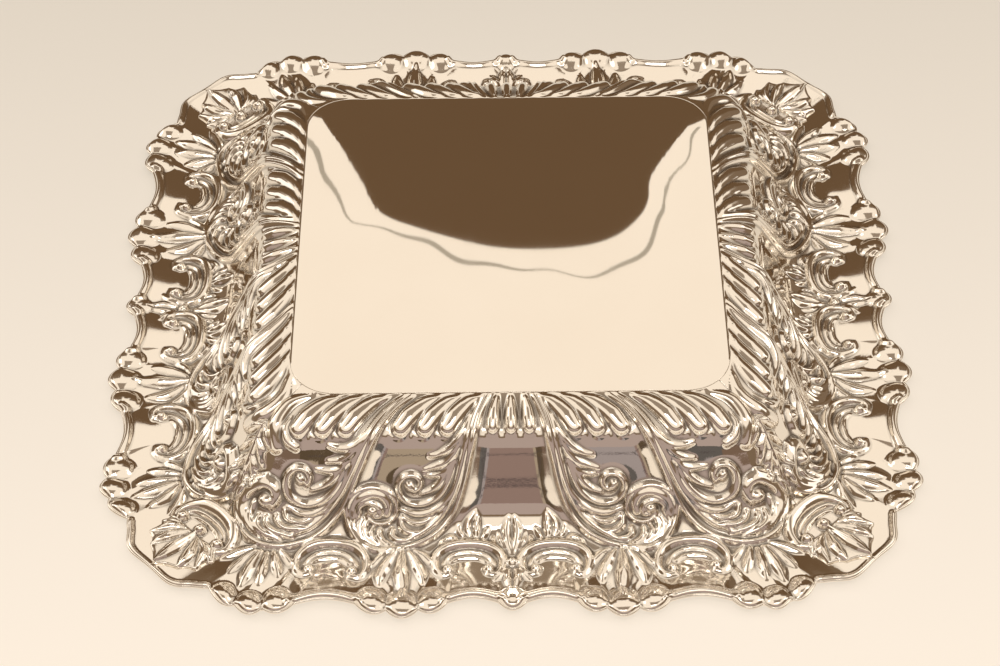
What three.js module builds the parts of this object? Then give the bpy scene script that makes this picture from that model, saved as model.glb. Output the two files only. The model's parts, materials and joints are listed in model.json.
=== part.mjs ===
// A square silver salver with a raised plain centre and a stamped ornamental border.
//
// It is built as a silversmith builds it: a flat centre plate is soldered onto the ledge of
// four stamped border quarters, which meet on the diagonals. A leaf covers each mitre on the
// wall, a scroll cartouche covers it on the flange, and a wire stiffens each scalloped edge.
//
// Frame: millimetres, +Z up, origin on the table under the middle, front side towards -Y.
import * as THREE from "three";

// ---------------------------------------------------------------- driving dimensions
const PLATEAU_HALF = 86; // middle to the straight edge of the raised centre
const PLATEAU_RADIUS = 18; // corner radius of the raised centre
const HEIGHT = 43; // table to the top of the raised centre
const SHEET = 1.0; // thickness of the silver sheet
const GAP = 0.3; // clearance between touching pieces
const LEDGE = 8; // lap of the border under the centre plate
const SHOULDER_RUN = 17.5; // width of the gadrooned shoulder
const SHOULDER_DROP = 9; // its fall below the centre plate
const WALL_RUN = 9.5; // how far the steep wall leans out
const FOOT_RISE = 13.5; // height at which the wall starts to flare
const FOOT_RUN = 19; // width of the flare
const RING_WIDTH = 6; // flat ring that stands on the table
const FLANGE_RUN = 20; // ring to the line of the scallops
const FLANGE_RISE = 3; // rise of the flange over that width
const RIM_RADIUS = 54; // corner radius of the flange before it is scalloped
const CORNER_LENGTH = 42.5; // plain corner lobe, measured along a side
const CORNER_STEP = 8; // its setback from the line of the scallops
const CORNER_SHOULDER = 15.5; // straight part of the lobe beside the last bead
const CORNER_HOLLOW = 1.2; // how far the lobe draws in at the mitre, along each side
const WIRE_WIDTH = 1.2;
const WIRE_HEIGHT = 2;
const LEAF_HALF_WIDTH = 9; // widest half of the leaf over a wall mitre
const CARTOUCHE_HALF_WIDTH = 15.5; // widest half of the cartouche over a flange mitre
const CARTOUCHE_LAP = 8; // how far its scroll reaches up the flare
const CARTOUCHE_TIP = 5; // its leaf tip to the line of the scallops
const TRIM_THICKNESS = 1.6; // thickness of leaf and cartouche
const TRIM_SPACING = 1; // leaf's foot to the cartouche's scroll

const SEAT = HEIGHT - SHEET - GAP; // top of the ledge that carries the centre plate
const WALL_START = SHOULDER_RUN;
const FOOT_START = WALL_START + WALL_RUN;
const RING_START = FOOT_START + FOOT_RUN;
const RING_END = RING_START + RING_WIDTH;
const RIM_RUN = RING_END + FLANGE_RUN;
const RIM_HALF = PLATEAU_HALF + RIM_RUN; // middle to the line of the scallops

// Half a side of the scalloped edge, outwards from the centre bead. share: part of the edge's
// length, bulge: how far its arc stands out, end: how far its far end is off the scallop line.
const CENTRE_BEAD = { share: 10, bulge: 3.5, steps: 3 };
const SCALLOPS = [
  { share: 20, bulge: -3.1, end: 0, steps: 4 },
  { share: 10.8, bulge: 3.2, end: 2.6, steps: 3 },
  { share: 12.2, bulge: 4.2, end: 2.8, steps: 3 },
  { share: 11.5, bulge: 3.2, end: 0, steps: 3 },
  { share: 24, bulge: -3.2, end: 0, steps: 4 },
  { share: 11.5, bulge: 3.2, end: 1.4, steps: 3 },
  { share: 10.4, bulge: 3.8, end: -0.4, steps: 3 },
  { share: 10.1, bulge: 3.4, end: -CORNER_STEP, steps: 3 },
];

const SILVER = { color: 0xd9d2c8, metalness: 1 };
const materials = {
  plate: () => new THREE.MeshStandardMaterial({ ...SILVER, roughness: 0.12 }),
  border: () => new THREE.MeshStandardMaterial({ ...SILVER, roughness: 0.2 }),
  trim: () => new THREE.MeshStandardMaterial({ ...SILVER, roughness: 0.22 }),
  wire: () => new THREE.MeshStandardMaterial({ ...SILVER, roughness: 0.16 }),
};

// ---------------------------------------------------------------- profile of the border
// Top face, from the ledge to the rim: run outwards from the plateau edge, and height.
// follow: how far a row follows the scallops. flat: the sheet lies level on this row.
const PROFILE = [
  { run: -LEDGE, z: SEAT, follow: 0, flat: true },
  { run: SHEET, z: SEAT, follow: 0, flat: true },
  { run: SHOULDER_RUN * 0.58, z: HEIGHT - SHOULDER_DROP * 0.44, follow: 0 },
  { run: WALL_START, z: HEIGHT - SHOULDER_DROP, follow: 0 },
  { run: WALL_START + WALL_RUN * 0.42, z: HEIGHT - SHOULDER_DROP * 1.8, follow: 0 },
  { run: FOOT_START, z: FOOT_RISE, follow: 0 },
  { run: FOOT_START + FOOT_RUN * 0.34, z: FOOT_RISE * 0.42, follow: 0 },
  { run: RING_START, z: SHEET, follow: 0, flat: true },
  { run: RING_END, z: SHEET, follow: 0.2, flat: true },
  { run: RIM_RUN - FLANGE_RUN * 0.45, z: SHEET + FLANGE_RISE * 0.5, follow: 0.55 },
  { run: RIM_RUN, z: SHEET + FLANGE_RISE, follow: 1 },
];

// Outward and upward parts of the sheet's normal on each row of the profile.
function rowNormal(k) {
  if (PROFILE[k].flat) return [0, 1];
  const a = PROFILE[Math.max(k - 1, 0)];
  const b = PROFILE[Math.min(k + 1, PROFILE.length - 1)];
  const length = Math.hypot(b.run - a.run, b.z - a.z);
  return [(a.z - b.z) / length, (b.run - a.run) / length];
}

// Corner radius of the rounded square that a row follows.
function cornerRadius(run) {
  if (run < 0) return PLATEAU_RADIUS + run;
  return PLATEAU_RADIUS + (RIM_RADIUS - PLATEAU_RADIUS) * (run / RIM_RUN);
}

// ---------------------------------------------------------------- plan of one side
// A side runs along a, and b points outwards. Each point of a side is {a, b, na, nb} with its
// outward direction. place() below turns a side's points to the front, right, back and left.

// Point at angle phi from the side's normal on the corner arc of the row at a given run.
function cornerPoint(run, phi) {
  const radius = cornerRadius(run);
  const centre = PLATEAU_HALF + run - radius;
  const na = Math.sin(phi);
  const nb = Math.cos(phi);
  return { a: centre + radius * na, b: centre + radius * nb, na, nb };
}

// Point at share t of the way from the middle of the side (0) to the mitre (1 or -1).
function rowPoint(run, t) {
  const radius = cornerRadius(run);
  const straight = PLATEAU_HALF + run - radius;
  const along = Math.abs(t) * (straight + (radius * Math.PI) / 4);
  const sign = Math.sign(t) || 1;
  if (along <= straight) return { a: sign * along, b: PLATEAU_HALF + run, na: 0, nb: 1 };
  const p = cornerPoint(run, (along - straight) / radius);
  return { a: sign * p.a, b: p.b, na: sign * p.na, nb: p.nb };
}

// Share t of the way to the mitre at which the unscalloped rim lies nearest to a point.
function shareAt(a, b) {
  const straight = RIM_HALF - RIM_RADIUS;
  const whole = straight + (RIM_RADIUS * Math.PI) / 4;
  const x = Math.abs(a);
  const along = x <= straight ? x : straight + RIM_RADIUS * Math.atan2(x - straight, b - straight);
  return (Math.sign(a) * along) / whole;
}

// Outline of one side's scalloped edge from mitre to mitre, as points {a, b}.
function scallopOutline() {
  const scalloped = RIM_HALF - CORNER_LENGTH;
  const shares = SCALLOPS.reduce((sum, s) => sum + s.share, CENTRE_BEAD.share / 2);
  const unit = scalloped / shares;
  const half = [];
  const arc = (from, to, bulge, steps) => {
    for (let i = 1; i <= steps; i++) {
      const u = i / steps;
      const rise = bulge * Math.sin(Math.PI * u);
      half.push({ a: from.a + (to.a - from.a) * u, b: from.b + (to.b - from.b) * u + rise });
    }
  };
  let at = { a: (CENTRE_BEAD.share / 2) * unit, b: RIM_HALF };
  half.push(at);
  for (const s of SCALLOPS) {
    const next = { a: at.a + s.share * unit, b: RIM_HALF + s.end };
    arc(at, next, s.bulge, s.steps);
    at = next;
  }
  const shoulder = { a: at.a + CORNER_SHOULDER, b: RIM_HALF - CORNER_STEP - 0.7 };
  arc(at, shoulder, -0.6, 3);
  const mitre = (shoulder.a + shoulder.b) / 2 - CORNER_HOLLOW;
  arc(shoulder, { a: mitre, b: mitre }, 0, 2);

  const mirrored = half.map((p) => ({ a: -p.a, b: p.b })).reverse();
  const bead = [];
  for (let i = 1; i < CENTRE_BEAD.steps; i++) {
    const u = i / CENTRE_BEAD.steps;
    const b = RIM_HALF + CENTRE_BEAD.bulge * Math.sin(Math.PI * u);
    bead.push({ a: half[0].a * (2 * u - 1), b });
  }
  return [...mirrored, ...bead, ...half];
}

// Columns of one side: the share t of each, and how far the scalloped edge is off the plain
// rim there. The end columns stop short of the mitre by half the gap between two quarters.
const columns = scallopOutline().map((p) => {
  const t = shareAt(p.a, p.b);
  const plain = rowPoint(RIM_RUN, t);
  return { t, da: p.a - plain.a, db: p.b - plain.b };
});
const MITRE_SETBACK = 0.75 * GAP;

function sidePoint(column, run, follow, inset) {
  const p = rowPoint(run, column.t);
  const end = Math.abs(column.t) > 1 - 1e-6 ? MITRE_SETBACK * Math.sign(column.t) : 0;
  return {
    a: p.a + follow * column.da - inset * p.na - end * p.nb,
    b: p.b + follow * column.db - inset * p.nb + Math.abs(end * p.na),
    na: p.na,
    nb: p.nb,
  };
}

// ---------------------------------------------------------------- solids
// A closed skin over loops of points, capped at both ends. Each loop runs round the section.
function sweep(loops) {
  const ring = loops[0].length;
  const positions = loops.flat(2);
  const index = [];
  for (let i = 0; i < loops.length - 1; i++) {
    for (let k = 0; k < ring; k++) {
      const next = (k + 1) % ring;
      const a = i * ring + k;
      const b = i * ring + next;
      index.push(a, b, a + ring, b, b + ring, a + ring);
    }
  }
  const last = (loops.length - 1) * ring;
  const half = ring / 2;
  for (let k = 0; k < half - 1; k++) {
    // The section is a strip: its points k and ring - 1 - k lie opposite each other.
    const far = ring - 1 - k;
    index.push(k, far, k + 1, far, far - 1, k + 1);
    index.push(last + k, last + k + 1, last + far, last + far, last + k + 1, last + far - 1);
  }
  const geometry = new THREE.BufferGeometry();
  geometry.setAttribute("position", new THREE.Float32BufferAttribute(positions, 3));
  geometry.setIndex(index);
  geometry.computeVertexNormals();
  return geometry;
}

// Side coordinates to the front side of the dish.
const front = (a, b, z) => [a, -b, z];

function centrePlate() {
  const half = PLATEAU_HALF;
  const r = PLATEAU_RADIUS;
  const shape = new THREE.Shape();
  shape.moveTo(half - r, -half);
  shape.absarc(half - r, r - half, r, -Math.PI / 2, 0, false);
  shape.absarc(half - r, half - r, r, 0, Math.PI / 2, false);
  shape.absarc(r - half, half - r, r, Math.PI / 2, Math.PI, false);
  shape.absarc(r - half, r - half, r, Math.PI, 1.5 * Math.PI, false);
  const plate = new THREE.ExtrudeGeometry(shape, {
    depth: SHEET,
    bevelEnabled: false,
    curveSegments: 6,
  });
  return plate.translate(0, 0, HEIGHT - SHEET);
}

// One stamped quarter: ledge, gadrooned shoulder, wall, flare, ring and scalloped flange.
function borderQuarter() {
  const inset = WIRE_WIDTH + GAP;
  const loops = columns.map((column) => {
    const top = [];
    const under = [];
    PROFILE.forEach((row, k) => {
      const p = sidePoint(column, row.run, row.follow, inset * row.follow);
      const [out, up] = rowNormal(k);
      const lean = SHEET * out;
      top.push(front(p.a, p.b, row.z));
      under.push(front(p.a - lean * p.na, p.b - lean * p.nb, row.z - SHEET * up));
    });
    return [...top, ...under.reverse()];
  });
  return sweep(loops);
}

// Wire soldered along the scalloped edge of one quarter.
function rimWire() {
  const middle = SHEET / 2 + FLANGE_RISE;
  const loops = columns.map((column) => {
    const outer = sidePoint(column, RIM_RUN, 1, 0);
    const inner = sidePoint(column, RIM_RUN, 1, WIRE_WIDTH);
    const high = middle + WIRE_HEIGHT / 2;
    const low = middle - WIRE_HEIGHT / 2;
    return [
      front(inner.a, inner.b, high),
      front(outer.a, outer.b, high),
      front(outer.a, outer.b, low),
      front(inner.a, inner.b, low),
    ];
  });
  return sweep(loops);
}

// How far the rim wire's line is off the plain rim at share t, between two columns.
function scallopOffset(t) {
  const k = Math.max(columns.findIndex((column) => column.t >= t), 1);
  const a = columns[k - 1];
  const b = columns[k];
  const u = (t - a.t) / (b.t - a.t);
  return { da: a.da + (b.da - a.da) * u, db: a.db + (b.db - a.db) * u };
}

// Point of the front right corner at a run and an angle, moved as the scalloped flange is.
function mitrePoint(run, phi, follow) {
  const radius = cornerRadius(run);
  const straight = PLATEAU_HALF + run - radius;
  const beyond = phi > Math.PI / 4;
  const turn = beyond ? Math.PI / 2 - phi : phi;
  const t = (straight + radius * turn) / (straight + (radius * Math.PI) / 4);
  const { da, db } = scallopOffset(Math.min(t, 1));
  const p = cornerPoint(run, phi);
  return {
    ...p,
    a: p.a + follow * (beyond ? db : da),
    b: p.b + follow * (beyond ? da : db),
  };
}

// Height of the border's top face at a run, and its normal, between two rows of the profile.
function profileAt(run) {
  const k = PROFILE.findIndex((row, i) => i > 0 && row.run >= run);
  const a = PROFILE[k - 1];
  const b = PROFILE[k];
  const u = (run - a.run) / (b.run - a.run);
  const na = rowNormal(k - 1);
  const nb = rowNormal(k);
  const out = na[0] + (nb[0] - na[0]) * u;
  const up = na[1] + (nb[1] - na[1]) * u;
  const length = Math.hypot(out, up);
  const follow = a.follow + (b.follow - a.follow) * u;
  return { z: a.z + (b.z - a.z) * u, out: out / length, up: up / length, follow };
}

// A piece of trim that lies over the mitre, between two runs, along the front right diagonal.
// spread: its half width at each of its rows, whose runs are shared out with the profile's.
function mitreTrim(from, to, spread) {
  const inside = PROFILE.map((row) => row.run).filter((run) => run > from + 1 && run < to - 1);
  const runs = [from, ...inside, to];
  const STEPS = 4;
  const loops = [];
  for (let i = -STEPS; i <= STEPS; i++) {
    const low = [];
    const high = [];
    for (const run of runs) {
      const face = profileAt(run);
      const width = spread((run - from) / (to - from));
      const phi = Math.PI / 4 + ((i / STEPS) * width) / cornerRadius(run);
      const p = mitrePoint(run, phi, face.follow);
      const at = (lift) =>
        front(p.a + lift * face.out * p.na, p.b + lift * face.out * p.nb, face.z + lift * face.up);
      low.push(at(2 * GAP));
      high.push(at(2 * GAP + TRIM_THICKNESS));
    }
    loops.push([...high, ...low.reverse()]);
  }
  return sweep(loops);
}

// Leaf that hangs over the wall mitre below the gadroons, widest near its top.
function cornerLeaf() {
  const from = WALL_START - 2;
  const to = RING_START - CARTOUCHE_LAP - TRIM_SPACING;
  return mitreTrim(from, to, (u) => LEAF_HALF_WIDTH * (0.3 + 0.7 * Math.sin(Math.PI * (1 - u) * 0.8)));
}

// Scroll and leaf that cover the flange mitre, from the flare to a tip inside the rim.
function cornerCartouche() {
  const from = RING_START - CARTOUCHE_LAP;
  const to = RIM_RUN - CARTOUCHE_TIP;
  const swell = (u) => Math.sin(Math.PI * (0.12 + 0.88 * u));
  return mitreTrim(from, to, (u) => CARTOUCHE_HALF_WIDTH * (0.12 + 0.88 * swell(u)));
}

// ---------------------------------------------------------------- assembly
const salver = new THREE.Group();

function place(name, geometry, material, turn) {
  const mesh = new THREE.Mesh(geometry, material);
  mesh.name = name;
  mesh.rotation.z = turn;
  salver.add(mesh);
}

place("centre_plate", centrePlate(), materials.plate(), 0);

const SIDES = ["front", "right", "back", "left"];
const CORNERS = ["front_right", "back_right", "back_left", "front_left"];
const quarter = borderQuarter();
const wire = rimWire();
const leaf = cornerLeaf();
const cartouche = cornerCartouche();
for (let i = 0; i < SIDES.length; i++) {
  const turn = (i * Math.PI) / 2;
  place("border_" + SIDES[i], quarter, materials.border(), turn);
  place("rim_wire_" + SIDES[i], wire, materials.wire(), turn);
  place("corner_leaf_" + CORNERS[i], leaf, materials.trim(), turn);
  place("corner_cartouche_" + CORNERS[i], cartouche, materials.trim(), turn);
}

export default salver;
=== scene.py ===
# %% [markdown]
# # A square silver salver with a raised centre
# The salver is a flat polished plate soldered onto a stamped silver border. The border is struck
# from a steel die in four quarters, and a leaf and a scroll cartouche hide each corner joint.
# We work as the silversmith does: first a die is cut, as a map of heights, and then sheet metal
# is pressed over it. The CAD frame is loaded first, because every size comes from it.

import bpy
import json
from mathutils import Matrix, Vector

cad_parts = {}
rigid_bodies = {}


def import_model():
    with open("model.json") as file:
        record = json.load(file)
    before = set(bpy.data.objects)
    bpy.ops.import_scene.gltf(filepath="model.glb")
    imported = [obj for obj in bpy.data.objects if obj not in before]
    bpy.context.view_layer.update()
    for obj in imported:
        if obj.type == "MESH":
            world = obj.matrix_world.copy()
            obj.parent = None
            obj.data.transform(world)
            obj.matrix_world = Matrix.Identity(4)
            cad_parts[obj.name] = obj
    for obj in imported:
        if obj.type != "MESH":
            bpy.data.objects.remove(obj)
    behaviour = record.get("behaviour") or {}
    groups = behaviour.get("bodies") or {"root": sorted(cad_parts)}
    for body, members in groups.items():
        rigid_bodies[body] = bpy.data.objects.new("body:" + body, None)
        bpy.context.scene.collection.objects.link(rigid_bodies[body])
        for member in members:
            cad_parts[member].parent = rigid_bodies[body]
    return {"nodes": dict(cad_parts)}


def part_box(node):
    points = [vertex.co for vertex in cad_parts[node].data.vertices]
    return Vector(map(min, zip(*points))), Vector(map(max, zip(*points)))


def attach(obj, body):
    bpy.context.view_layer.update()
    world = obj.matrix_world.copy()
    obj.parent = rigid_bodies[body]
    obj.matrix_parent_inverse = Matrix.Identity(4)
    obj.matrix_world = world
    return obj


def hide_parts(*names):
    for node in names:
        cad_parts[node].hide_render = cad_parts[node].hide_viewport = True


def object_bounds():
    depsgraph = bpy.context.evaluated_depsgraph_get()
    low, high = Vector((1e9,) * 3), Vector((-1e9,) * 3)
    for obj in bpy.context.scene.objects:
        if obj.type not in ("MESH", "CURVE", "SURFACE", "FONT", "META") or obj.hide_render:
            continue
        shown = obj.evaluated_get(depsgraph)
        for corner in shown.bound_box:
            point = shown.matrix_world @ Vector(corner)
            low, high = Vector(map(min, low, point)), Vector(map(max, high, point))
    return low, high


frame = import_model()
cad_low, cad_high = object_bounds()

import copy
import json
import math

import bpy
import numpy as np
from mathutils import Vector
from mathutils.bvhtree import BVHTree

MM = 0.001  # the ornament is laid out in millimetres, Blender works in metres
print(len(frame["nodes"]), "CAD nodes, box in m:", tuple(cad_low), tuple(cad_high))

# %% [markdown]
# ## Sizes taken from the frame
# The plate gives the raised square, its height and the sheet's thickness. Every side and corner is
# made once and turned to the other three, so their names are kept in the order of the turns.

# %% Sizes
plate_low, plate_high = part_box("centre_plate")
PLATEAU_HALF = (plate_high.x - plate_low.x) / 2 / MM
TOP = plate_high.z / MM
SHEET = (plate_high.z - plate_low.z) / MM
OUTERMOST = cad_high.x / MM
PLATEAU_RADIUS = 18.0  # corner radius of the raised square
RIM_RADIUS = 54.0  # corner radius of the line that the scallops are set out from
SIDES = ["front", "right", "back", "left"]
CORNERS = ["front_right", "back_right", "back_left", "front_left"]
print("raised square", 2 * PLATEAU_HALF, "mm, height", TOP, "mm, width", 2 * OUTERMOST, "mm")

# %% [markdown]
# ## The camera
# It looks down on the front side at about 46 degrees from a metre away, through a long lens,
# so that the square keeps its shape. It is made first, so that every later step can be looked at.

# %% Camera
CAMERA_ROLL = math.radians(-0.61)
CAMERA_AT = Vector((-3.1, -718.8, 742.4)) * MM
CAMERA_AIM = Vector((-3.9, -18.5, 4.5)) * MM
FOCAL_LENGTH = 88.0
SENSOR_WIDTH = 36.0

camera = bpy.data.objects.new("camera", bpy.data.cameras.new("camera"))
bpy.context.scene.collection.objects.link(camera)
camera.data.sensor_width = SENSOR_WIDTH
camera.data.lens = FOCAL_LENGTH
camera.data.clip_start = 10 * MM
camera.location = CAMERA_AT
look = (CAMERA_AIM - CAMERA_AT).to_track_quat("-Z", "Y").to_matrix().to_4x4()
camera.rotation_euler = look.to_euler()
camera.rotation_euler.rotate_axis("Z", CAMERA_ROLL)
bpy.context.scene.camera = camera
print("camera at", tuple(round(v, 3) for v in camera.location))

# %% [markdown]
# ## The profile of the border
# A border is one section carried round the square: a shoulder that slopes away from the plate, a
# steep wall, a flare, and a flange that rises a little to its edge. Positions on it are given by
# `l`, the distance along the section from the plate's edge, because ornament is drawn on the
# metal and not on its plan. A smooth curve runs through a few points of the section. All sizes
# are in millimetres until a mesh is made.

# %% Profile
# run: outwards from the plate's edge; z: height of the top face
SECTION = [
    (-8.0, TOP - 1.3), (-0.8, TOP - 1.3), (0.0, TOP - 0.36), (2.0, TOP - 1.2), (10.0, TOP - 4.4),
    (15.6, TOP - 7.4), (18.3, TOP - 10.9), (20.7, TOP - 15.6), (24.0, 20.8), (27.0, 14.7),
    (30.0, 9.2), (33.0, 5.6), (37.0, 2.9), (41.0, 1.5), (45.0, 1.02), (49.0, 1.08), (53.0, 1.47),
    (58.0, 2.1), (64.0, 2.87), (70.0, 3.64), (72.0, 3.9), (80.0, 4.95),
]
EDGE_POINT = 2  # the section point at the plate's edge, where l is 0
section = np.array(SECTION)
steps = np.hypot(*np.diff(section, axis=0).T)
section_l = np.concatenate([[0], np.cumsum(steps)])
section_l -= section_l[EDGE_POINT]
RIM_RUN = 72.0  # plate's edge to the line that the scallops are set out from
RIM_HALF = PLATEAU_HALF + RIM_RUN


def smooth_curve(x, xs, ys):
    """A curve through (xs, ys) that never overshoots between two points."""
    slopes = np.diff(ys) / np.diff(xs)
    tangents = np.zeros(len(xs))
    tangents[0], tangents[-1] = slopes[0], slopes[-1]
    for i in range(1, len(xs) - 1):
        if slopes[i - 1] * slopes[i] > 0:
            tangents[i] = 2 * slopes[i - 1] * slopes[i] / (slopes[i - 1] + slopes[i])
    i = np.clip(np.searchsorted(xs, x) - 1, 0, len(xs) - 2)
    h = xs[i + 1] - xs[i]
    t = np.clip((x - xs[i]) / h, 0, 1)
    a = (1 + 2 * t) * (1 - t) ** 2 * ys[i] + t * (1 - t) ** 2 * h * tangents[i]
    return a + t * t * (3 - 2 * t) * ys[i + 1] - t * t * (1 - t) * h * tangents[i + 1]


def run_at(l):
    """Distance outwards from the plate's edge."""
    return smooth_curve(l, section_l, section[:, 0])


def z_at(l):
    """Height of the top face."""
    return smooth_curve(l, section_l, section[:, 1])


def face_at(l):
    """Outward and upward parts of the section's normal."""
    reach = 0.4  # the slope is measured this far to both sides
    outwards = run_at(l + reach) - run_at(l - reach)
    upwards = z_at(l + reach) - z_at(l - reach)
    length = np.hypot(outwards, upwards)
    return -upwards / length, outwards / length


def l_at_run(run):
    """The inverse of run_at, from a finely spaced table."""
    table = np.arange(section_l[0], section_l[-1], 0.1)
    return np.interp(run, run_at(table), table)


RIM_L = float(l_at_run(RIM_RUN))
print("the section is", round(RIM_L, 1), "mm long from the plate's edge to the scallops")


# %% Plan of one side
def corner_radius(run):
    """Corner radius of the rounded square that lies at a run outside the plate's edge."""
    inside = PLATEAU_RADIUS + run
    outside = PLATEAU_RADIUS + (RIM_RADIUS - PLATEAU_RADIUS) * run / RIM_RUN
    return np.where(run < 0, inside, outside)


def plan(run, t):
    """Point, and the way outwards there, at share t from a side's middle (0) to a mitre (1, -1)."""
    r = corner_radius(run)
    straight = PLATEAU_HALF + run - r
    along = np.abs(t) * (straight + r * math.pi / 4)
    phi = np.clip((along - straight) / r, 0, math.pi / 4)
    a = np.where(along <= straight, along, straight + r * np.sin(phi))
    b = straight + r * np.cos(phi)
    sign = np.where(t < 0, -1.0, 1.0)
    return sign * a, b, sign * np.sin(phi), np.cos(phi)


# %% [markdown]
# ## The scalloped edge
# Half a side runs from the centre bead through coves and groups of three beads to a plain
# corner lobe. Each scallop is an arc between two points of the edge, so a list of widths, bulges
# and end offsets is enough.

# %% Scalloped edge
# (share of the length, how far the arc bulges out, how far its far end is off the scallop line)
SCALLOPS = [
    (20, -2.3, 0), (10.8, 3.2, 2.6), (12.2, 4.2, 2.8), (11.5, 3.2, 0),
    (24, -2.4, 0), (11.5, 3.2, 1.4), (10.4, 3.8, -0.4), (10.1, 3.4, -8),
]
CENTRE_BEAD = 5.0  # half its width
CENTRE_BULGE = 3.5
BEAD_ROUNDNESS = 0.8  # 1 is a plain swell, and less is rounder
CORNER_LENGTH = 42.5  # what the scallops leave for half a corner lobe
SHOULDER_LENGTH = 15.5  # the lobe's first arc
SHOULDER_DROP = 0.7
SHOULDER_BULGE = -0.6
CORNER_HOLLOW = 1.2  # how far the lobe's middle lies inside a straight cut
EDGE_POINTS_PER_MM = 4
EASE_FROM = 117  # beyond this place along the side the edge has no kinks
EASE_FADE = 4
EASE_WIDTH = 9.0

scallop_unit = (RIM_HALF - CORNER_LENGTH) / (CENTRE_BEAD + sum(s[0] for s in SCALLOPS))


def half_edge():
    """The edge of half a side, from its middle to its mitre, as finely spaced points."""
    points = []

    def arc(start, end, bulge, first=0.0):
        n = max(6, int(EDGE_POINTS_PER_MM * (end[0] - start[0])))
        power = BEAD_ROUNDNESS if bulge > 0 else 1.0
        for u in np.linspace(first, 1, n, endpoint=False):
            a = start[0] + (end[0] - start[0]) * u
            b = start[1] + (end[1] - start[1]) * u
            points.append((a, b + bulge * math.sin(math.pi * u) ** power))

    at = (CENTRE_BEAD * scallop_unit, RIM_HALF)
    arc((-at[0], RIM_HALF), at, CENTRE_BULGE, 0.5)
    for share, bulge, end in SCALLOPS:
        to = (at[0] + share * scallop_unit, RIM_HALF + end)
        arc(at, to, bulge)
        at = to
    shoulder = (at[0] + SHOULDER_LENGTH, at[1] - SHOULDER_DROP)
    arc(at, shoulder, SHOULDER_BULGE)
    mitre = (shoulder[0] + shoulder[1]) / 2 - CORNER_HOLLOW
    arc(shoulder, (mitre, mitre), 0)
    points.append((mitre, mitre))
    return np.array(points)


def eased(points):
    """Rounds the kinks of the corner lobe, together with the half beyond the mitre."""
    spacing = np.hypot(*np.diff(points, axis=0).T).mean()
    n = int(EASE_WIDTH / spacing)
    mirrored = np.concatenate([points, points[-2::-1][:, ::-1]])
    kernel = np.hanning(2 * n + 3)[1:-1]
    kernel /= kernel.sum()
    soft = np.stack([np.convolve(mirrored[:, k], kernel, "same") for k in (0, 1)], 1)[:len(points)]
    share = np.clip((points[:, 0] - EASE_FROM) / EASE_FADE, 0, 1)[:, None]
    return points * (1 - share) + soft * share


edge = eased(half_edge())


def share_at(a, b):
    """Share of the way to the mitre at which the plain rim lies nearest to a point."""
    straight = RIM_HALF - RIM_RADIUS
    whole = straight + RIM_RADIUS * math.pi / 4
    round_part = straight + RIM_RADIUS * np.arctan2(a - straight, b - straight)
    return np.where(a <= straight, a, round_part) / whole


edge_t = share_at(edge[:, 0], edge[:, 1])
plain_a, plain_b = plan(np.full(len(edge), RIM_RUN), edge_t)[:2]
edge_out = edge - np.stack([plain_a, plain_b], 1)
print("edge of half a side:", len(edge), "points, widest", round(edge[:, 1].max(), 2), "mm")

# %% [markdown]
# ## Cutting the die
# Stamped ornament is made of rounded ribs with sharp valleys between them. A ball pushed along a
# curve leaves exactly such a rib, so the die is a map of heights over one half of a side, and
# each stroke keeps the highest of what is there and of what its ball adds. `a` runs along the
# side from its middle and `l` down the section. The other half and sides mirror and turn it.

# %% The die and its strokes
STROKE_STEP = 0.35  # between the ball marks of a stroke
CURVE_STEPS = 24  # between two given points of a curve


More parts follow.
